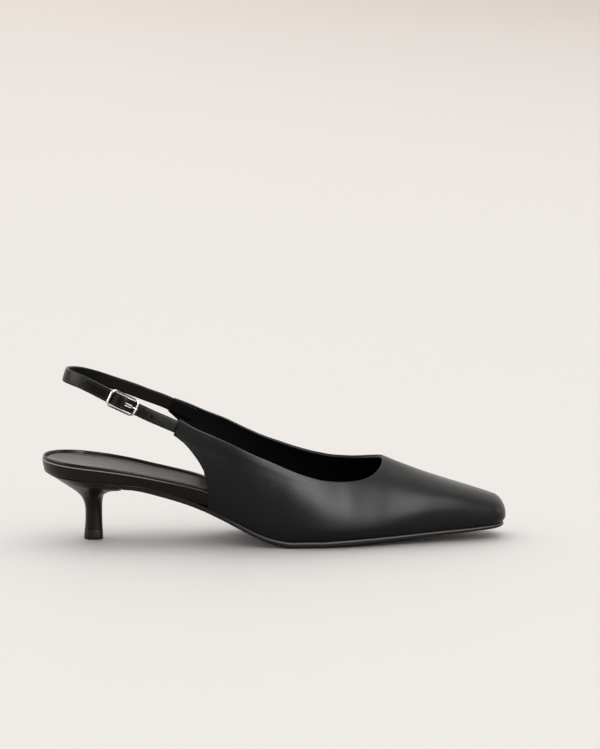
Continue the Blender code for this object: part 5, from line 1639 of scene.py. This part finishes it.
class PumpSettings(bpy.types.PropertyGroup):
    """Finishes and small sizes of the pump."""
    satin_colour: bpy.props.FloatVectorProperty(
        name="Satin colour", description="Colour of the upper's satin, linear", default=linear("0f0f10"),
        size=3, subtype="COLOR", min=0.0, max=1.0)
    # the straps' satin is the upper's satin painted a little darker: painted shade
    strap_colour: bpy.props.FloatVectorProperty(
        name="Strap colour", description="Colour of the straps' satin, linear", default=linear("0d0c0b"),
        size=3, subtype="COLOR", min=0.0, max=1.0)
    wrap_colour: bpy.props.FloatVectorProperty(
        name="Wrap colour", description="Leather round the footbed and on the heel, linear",
        default=linear("0d0b0a"), size=3, subtype="COLOR", min=0.0, max=1.0)
    sock_colour: bpy.props.FloatVectorProperty(
        name="Sock colour", description="Leather of the sock, linear", default=linear("241f1b"),
        size=3, subtype="COLOR", min=0.0, max=1.0)
    thread_spacing: bpy.props.FloatProperty(
        name="Thread spacing", description="Distance at which the satin's threads are drawn, mm",
        default=0.40, min=0.1, max=2.0)
    stitch_pitch: bpy.props.FloatProperty(
        name="Stitch pitch", description="Distance from one strap stitch to the next",
        default=0.0019, min=0.001, max=0.005, unit="LENGTH", subtype="DISTANCE")
    stitch_length: bpy.props.FloatProperty(
        name="Stitch length", description="Visible length of one stitch",
        default=0.0014, min=0.0005, max=0.004, unit="LENGTH", subtype="DISTANCE")
    thread_radius: bpy.props.FloatProperty(
        name="Thread radius", description="Radius of the strap's sewing thread",
        default=0.00013, min=0.00005, max=0.0005, unit="LENGTH", subtype="DISTANCE")
    hole_spacing: bpy.props.FloatProperty(
        name="Hole spacing", description="Distance between the strap's punched holes",
        default=0.0036, min=0.002, max=0.01, unit="LENGTH", subtype="DISTANCE")


class StageSettings(bpy.types.PropertyGroup):
    """Floor, light and camera."""
    floor_colour: bpy.props.FloatVectorProperty(
        name="Floor colour", description="Pale warm floor, linear", default=linear("e5e2e1"),
        size=3, subtype="COLOR", min=0.0, max=1.0)
    # the far colours are painted shade, where the light falls off far behind the shoe
    far_left: bpy.props.FloatVectorProperty(
        name="Far left", description="Colour the floor turns to far behind the heel, linear",
        default=linear("d9cec5"), size=3, subtype="COLOR", min=0.0, max=1.0)
    far_right: bpy.props.FloatVectorProperty(
        name="Far right", description="Colour the floor turns to far behind the toe, linear",
        default=linear("bfafa4"), size=3, subtype="COLOR", min=0.0, max=1.0)
    ambient: bpy.props.FloatProperty(
        name="Ambient", description="Strength of the even studio light", default=1.0, min=0.0)
    ceiling: bpy.props.FloatProperty(
        name="Ceiling", description="Strength of the wide light straight above", default=0.30, min=0.0)
    softbox_power: bpy.props.FloatProperty(
        name="Softboxes", description="Power of the softboxes against their table", default=1.0, min=0.0)
    camera_distance: bpy.props.FloatProperty(
        name="Camera distance", description="From the aim point", default=1.948744, min=0.3,
        unit="LENGTH", subtype="DISTANCE")
    camera_lens: bpy.props.FloatProperty(
        name="Lens", description="Focal length, mm", default=168.2243, min=20.0)


def settings():
    return bpy.context.scene.pump_settings


class PUMP_OT_upper(bpy.types.Operator):
    """Make the hollow satin upper with its lining"""
    bl_idname = "pump.upper"
    bl_label = "Upper"

    def execute(self, context):
        cfg = settings()
        cloth = satin("duchess_satin", cfg.thread_spacing, tuple(cfg.satin_colour))
        on_shoe(build_upper(cloth, lining_leather()), "satin", "upper")
        return {"FINISHED"}


class PUMP_OT_footbed(bpy.types.Operator):
    """Make the wrapped footbed and the sock on it"""
    bl_idname = "pump.footbed"
    bl_label = "Footbed and sock"

    def execute(self, context):
        cfg = settings()
        # the pale grey is a painted highlight on the band's ledge
        wrap = nappa("wrap_nappa", tuple(cfg.wrap_colour), 0.30, painted_highlight="b0aaa4")
        on_shoe(build_footbed(wrap), "wrap", "footbed")
        sock = nappa("sock_nappa", tuple(cfg.sock_colour), 0.33, 0.0008, 0.00003, 0.05, fore=0.22)
        on_shoe(build_sock(sock), "sock", "sock")
        return {"FINISHED"}


class PUMP_OT_sole(bpy.types.Operator):
    """Make the outsole, the covered heel and its top piece"""
    bl_idname = "pump.sole"
    bl_label = "Outsole and heel"

    def execute(self, context):
        on_shoe(build_outsole(sole_unit()), "sole", "outsole")
        on_shoe(build_heel(nappa("heel_nappa", tuple(settings().wrap_colour), 0.30)), "heel_cover", "heel")
        on_shoe(build_top_piece(heel_tip_rubber()), "top_piece", "top_piece")
        return {"FINISHED"}


class PUMP_OT_straps(bpy.types.Operator):
    """Make the two straps with their stitches and punched holes"""
    bl_idname = "pump.straps"
    bl_label = "Straps"

    def execute(self, context):
        cfg = settings()
        # painted shade: the straps' satin is a little darker and less shiny than the upper's
        cloth = satin("strap_satin", cfg.thread_spacing, tuple(cfg.strap_colour), 0.12)
        back, back_slot = back_strap_path()
        front, front_slot, marks = front_strap_path()
        # the end inside the inner quarter takes the near-black lining over its whole section: partly the
        # strap's lining, partly painted shade
        tucked = sum(1 for row in back if row[0].y > 0 and row[0].x > X0 + LENGTH * (TAB_TOP[0] - 0.010))
        lining = bpy.data.materials.get("lining_goatskin") or lining_leather()
        on_shoe(ribbon("strap_back_satin", back, STRAP_WIDTH, [cloth, lining], [back_slot], 0.0010, tucked),
                "satin", "strap_back")
        on_shoe(ribbon("strap_front_satin", front, STRAP_WIDTH - STRAP_EASE, [cloth], [front_slot], 0.0009),
                "satin", "strap_front")
        thread = thread_surface()
        tree = stitch_tree()
        lines = [("back", back, 0, 108, STRAP_WIDTH),
                 ("front", front, 0, len(front) - 2, STRAP_WIDTH - STRAP_EASE)]
        for label, path, first, last, width in lines:
            for side, end in ((-1, "low"), (1, "high")):
                points, edges = chain(strap_lines(path, first, last, side, width, 0.0010, 0.00002))
                row = run_tree("stitches_%s_%s" % (label, end), tree, points, edges, Pitch=cfg.stitch_pitch,
                               Stitch_length=cfg.stitch_length, Thread_radius=cfg.thread_radius,
                               Seed=11 + side, Thread=thread)
                on_shoe(row, "satin")
        where, outs = [], []
        for reach in (HOLE_REACH, HOLE_REACH + cfg.hole_spacing):
            k = min(range(len(marks)), key=lambda i: abs(D_BUCKLE - marks[i] - reach))
            p, _, out, thick, _ = front[k]
            where.append(p + out * (thick / 2 + 0.00008))
            outs.append(out)
        # each hole is a near-black disc on the face, painted shade in place of an open hole
        holes = run_tree("strap_holes", hole_tree(), where, [], {"out": outs}, Ring=cloth,
                         Hole=nappa("hole_shade", linear("060606"), 0.8))
        on_shoe(holes, "satin")
        return {"FINISHED"}


class PUMP_OT_buckle(bpy.types.Operator):
    """Make the buckle's rim, crossbar and pin"""
    bl_idname = "pump.buckle"
    bl_label = "Buckle"

    def execute(self, context):
        metal = plated_metal()
        for piece, node in zip(build_buckle(metal), ("buckle_frame", "buckle_bar", "buckle_prong")):
            on_shoe(piece, "metal", node)
        return {"FINISHED"}


CAMERA_AIM = (0.013021, 0.0, 0.091974)
CAMERA_VIEW = (-5.5, 9.1, 0.7)      # azimuth, elevation, roll, degrees


SOFTBOX_AIM = (0.03, 0.0, 0.03)
# name, bearing from the camera's side to the toe's, height above the floor (degrees), distance, size,
# power, whether it lights matt surfaces too or only shows as a sheen
SOFTBOXES = [
    ("overhead_softbox", 175, 72, 1.7, (2.0, 1.2), 6.0, False),
    ("front_softbox", 22, 28, 1.6, (0.60, 1.0), 38.0, False),
    ("front_right_softbox", 40, 50, 1.6, (0.50, 0.5), 12.0, False),
    ("left_softbox", -80, 22, 1.5, (0.9, 0.7), 18.0, False),
    ("right_softbox", 84, 16, 1.5, (0.5, 0.6), 4.0, False),
]


def add_light(name, place, target, size, power, colour, on_matt):
    lamp = bpy.data.lights.new(name, "AREA")
    lamp.shape, lamp.size, lamp.size_y = "RECTANGLE", size[0], size[1]
    lamp.energy, lamp.color = power, colour
    thing = bpy.data.objects.new(name, lamp)
    thing.location = place
    thing.visible_diffuse = on_matt
    thing.rotation_euler = (Vector(target) - Vector(place)).to_track_quat("-Z", "Y").to_euler()
    bpy.context.scene.collection.objects.link(thing)
    return thing


def painted_board(near, far_left, far_right):
    """Emulsion paint on board: matt and even near the shoe, with painted shade that turns it a little darker
    and warmer far behind, more so to the right.
    """
    mat, tree, shader = new_surface("painted_board", near, 0.7, Specular_IOR_Level=0.25)
    place = add_node(tree, "ShaderNodeTexCoord").outputs["Object"]
    split = add_node(tree, "ShaderNodeSeparateXYZ", links={0: place})
    back = add_node(tree, "ShaderNodeMapRange", interpolation_type="SMOOTHSTEP",
                    links={0: split.outputs["Y"]}, inputs={1: 0.6, 2: 9.0})
    depth = add_node(tree, "ShaderNodeMath", operation="ADD", links={0: split.outputs["Y"]}, inputs={1: 2.0})
    aside = add_node(tree, "ShaderNodeMath", operation="DIVIDE",
                     links={0: split.outputs["X"], 1: depth.outputs[0]})
    share = add_node(tree, "ShaderNodeMapRange", links={0: aside.outputs[0]}, inputs={1: 0.0, 2: 0.17})
    far = add_node(tree, "ShaderNodeMix", data_type="RGBA", links={0: share.outputs[0]},
                   inputs={6: (*far_left, 1.0), 7: (*far_right, 1.0)})
    # painted shade: the mix towards the far colours grows with distance behind the shoe, with a faint cloud
    cloud_and_painted_falloff = add_node(tree, "ShaderNodeMath", operation="MULTIPLY_ADD", inputs={1: 0.04},
                      links={0: noise(tree, place, 0.6, 1.0, 0.4), 2: back.outputs[0]})
    whole = add_node(tree, "ShaderNodeMix", data_type="RGBA", inputs={6: (*near, 1.0)},
                     links={0: cloud_and_painted_falloff.outputs[0], 7: far.outputs[2]})
    tree.links.new(whole.outputs[2], shader.inputs["Base Color"])
    return mat


def add_floor(cfg):
    mesh = bpy.data.meshes.new("floor")
    mesh.from_pydata([(-14, -6, 0), (14, -6, 0), (14, 30, 0), (-14, 30, 0)], [], [(0, 1, 2, 3)])
    mesh.materials.append(painted_board(tuple(cfg.floor_colour), tuple(cfg.far_left), tuple(cfg.far_right)))
    floor = bpy.data.objects.new("floor", mesh)
    bpy.context.scene.collection.objects.link(floor)


def light_room(cfg):
    """The room's own light: brighter behind the shoe than on the camera's side."""
    scene = bpy.context.scene
    world = scene.world or bpy.data.worlds.new("studio")
    scene.world = world
    world.use_nodes = True
    tree = world.node_tree
    back = tree.nodes["Background"]
    where = add_node(tree, "ShaderNodeTexCoord").outputs["Generated"]
    split = add_node(tree, "ShaderNodeSeparateXYZ", links={0: where})
    depth = add_node(tree, "ShaderNodeMapRange", interpolation_type="SMOOTHSTEP",
                     links={0: split.outputs["Y"]},
                     inputs={1: -0.55, 2: 0.45, 3: cfg.ambient * 0.46, 4: cfg.ambient * 1.40})
    back.inputs["Color"].default_value = (*linear("fffdfa"), 1.0)
    tree.links.new(depth.outputs[0], back.inputs["Strength"])


def add_lights(cfg):
    for name, phi, height, far, size, power, on_matt in SOFTBOXES:
        a, e = math.radians(phi), math.radians(height)
        place = Vector((math.sin(a) * math.cos(e), -math.cos(a) * math.cos(e), math.sin(e))) * far
        add_light(name, place + Vector(SOFTBOX_AIM), SOFTBOX_AIM, size, power * cfg.softbox_power,
                  linear("fffdfb"), on_matt)
    sun = bpy.data.lights.new("studio_ceiling", "SUN")
    sun.energy, sun.angle, sun.color = cfg.ceiling, math.radians(80), linear("fffdfa")
    lamp = bpy.data.objects.new("studio_ceiling", sun)
    lamp.rotation_euler = (math.radians(-12), math.radians(6), 0)
    bpy.context.scene.collection.objects.link(lamp)


def add_camera(cfg):
    """The photo's angle to the shoe: azimuth, elevation and roll about the aim point."""
    scene = bpy.context.scene
    azimuth, elevation, roll = (math.radians(a) for a in CAMERA_VIEW)
    behind = Vector((math.sin(azimuth) * math.cos(elevation), -math.cos(azimuth) * math.cos(elevation),
                     math.sin(elevation)))
    right = Vector((math.cos(azimuth), math.sin(azimuth), 0.0))
    up = behind.cross(right)
    turn = Matrix((right, up, behind)).transposed() @ Matrix.Rotation(roll, 3, "Z")
    data = bpy.data.cameras.new("photo_camera")
    data.lens, data.sensor_width = cfg.camera_lens, 36.0
    data.clip_start, data.clip_end = 0.05, 60.0
    camera = bpy.data.objects.new("photo_camera", data)
    place = Vector(CAMERA_AIM) + behind * cfg.camera_distance
    camera.matrix_world = Matrix.Translation(place) @ turn.to_4x4()
    scene.collection.objects.link(camera)
    scene.camera = camera


class PUMP_OT_stage(bpy.types.Operator):
    """Make the pale floor, the soft studio light and the camera"""
    bl_idname = "pump.stage"
    bl_label = "Stage"

    def execute(self, context):
        cfg = context.scene.pump_stage
        add_floor(cfg)
        light_room(cfg)
        add_lights(cfg)
        add_camera(cfg)
        context.scene.view_settings.view_transform = "Standard"
        return {"FINISHED"}


class PUMP_PT_panel(bpy.types.Panel):
    """The pump's settings and pieces"""
    bl_idname = "PUMP_PT_panel"
    bl_label = "Slingback pump"
    bl_space_type = "VIEW_3D"
    bl_region_type = "UI"
    bl_category = "Pump"

    def draw(self, context):
        for group in (context.scene.pump_settings, context.scene.pump_stage):
            for key in group.__annotations__:
                self.layout.prop(group, key)
        for operator in OPERATORS:
            self.layout.operator(operator.bl_idname)


OPERATORS = (PUMP_OT_upper, PUMP_OT_footbed, PUMP_OT_sole, PUMP_OT_straps, PUMP_OT_buckle, PUMP_OT_stage)
CLASSES = (PumpSettings, StageSettings, *OPERATORS, PUMP_PT_panel)


def register():
    for cls in CLASSES:
        bpy.utils.register_class(cls)
    bpy.types.Scene.pump_settings = bpy.props.PointerProperty(type=PumpSettings)
    bpy.types.Scene.pump_stage = bpy.props.PointerProperty(type=StageSettings)


def unregister():
    del bpy.types.Scene.pump_stage
    del bpy.types.Scene.pump_settings
    for cls in reversed(CLASSES):
        bpy.utils.unregister_class(cls)


def main():
    register()
    bpy.ops.pump.stage()
    bpy.ops.pump.upper()
    bpy.ops.pump.footbed()
    bpy.ops.pump.sole()
    bpy.ops.pump.straps()
    bpy.ops.pump.buckle()


if __name__ == "__main__":
    main()
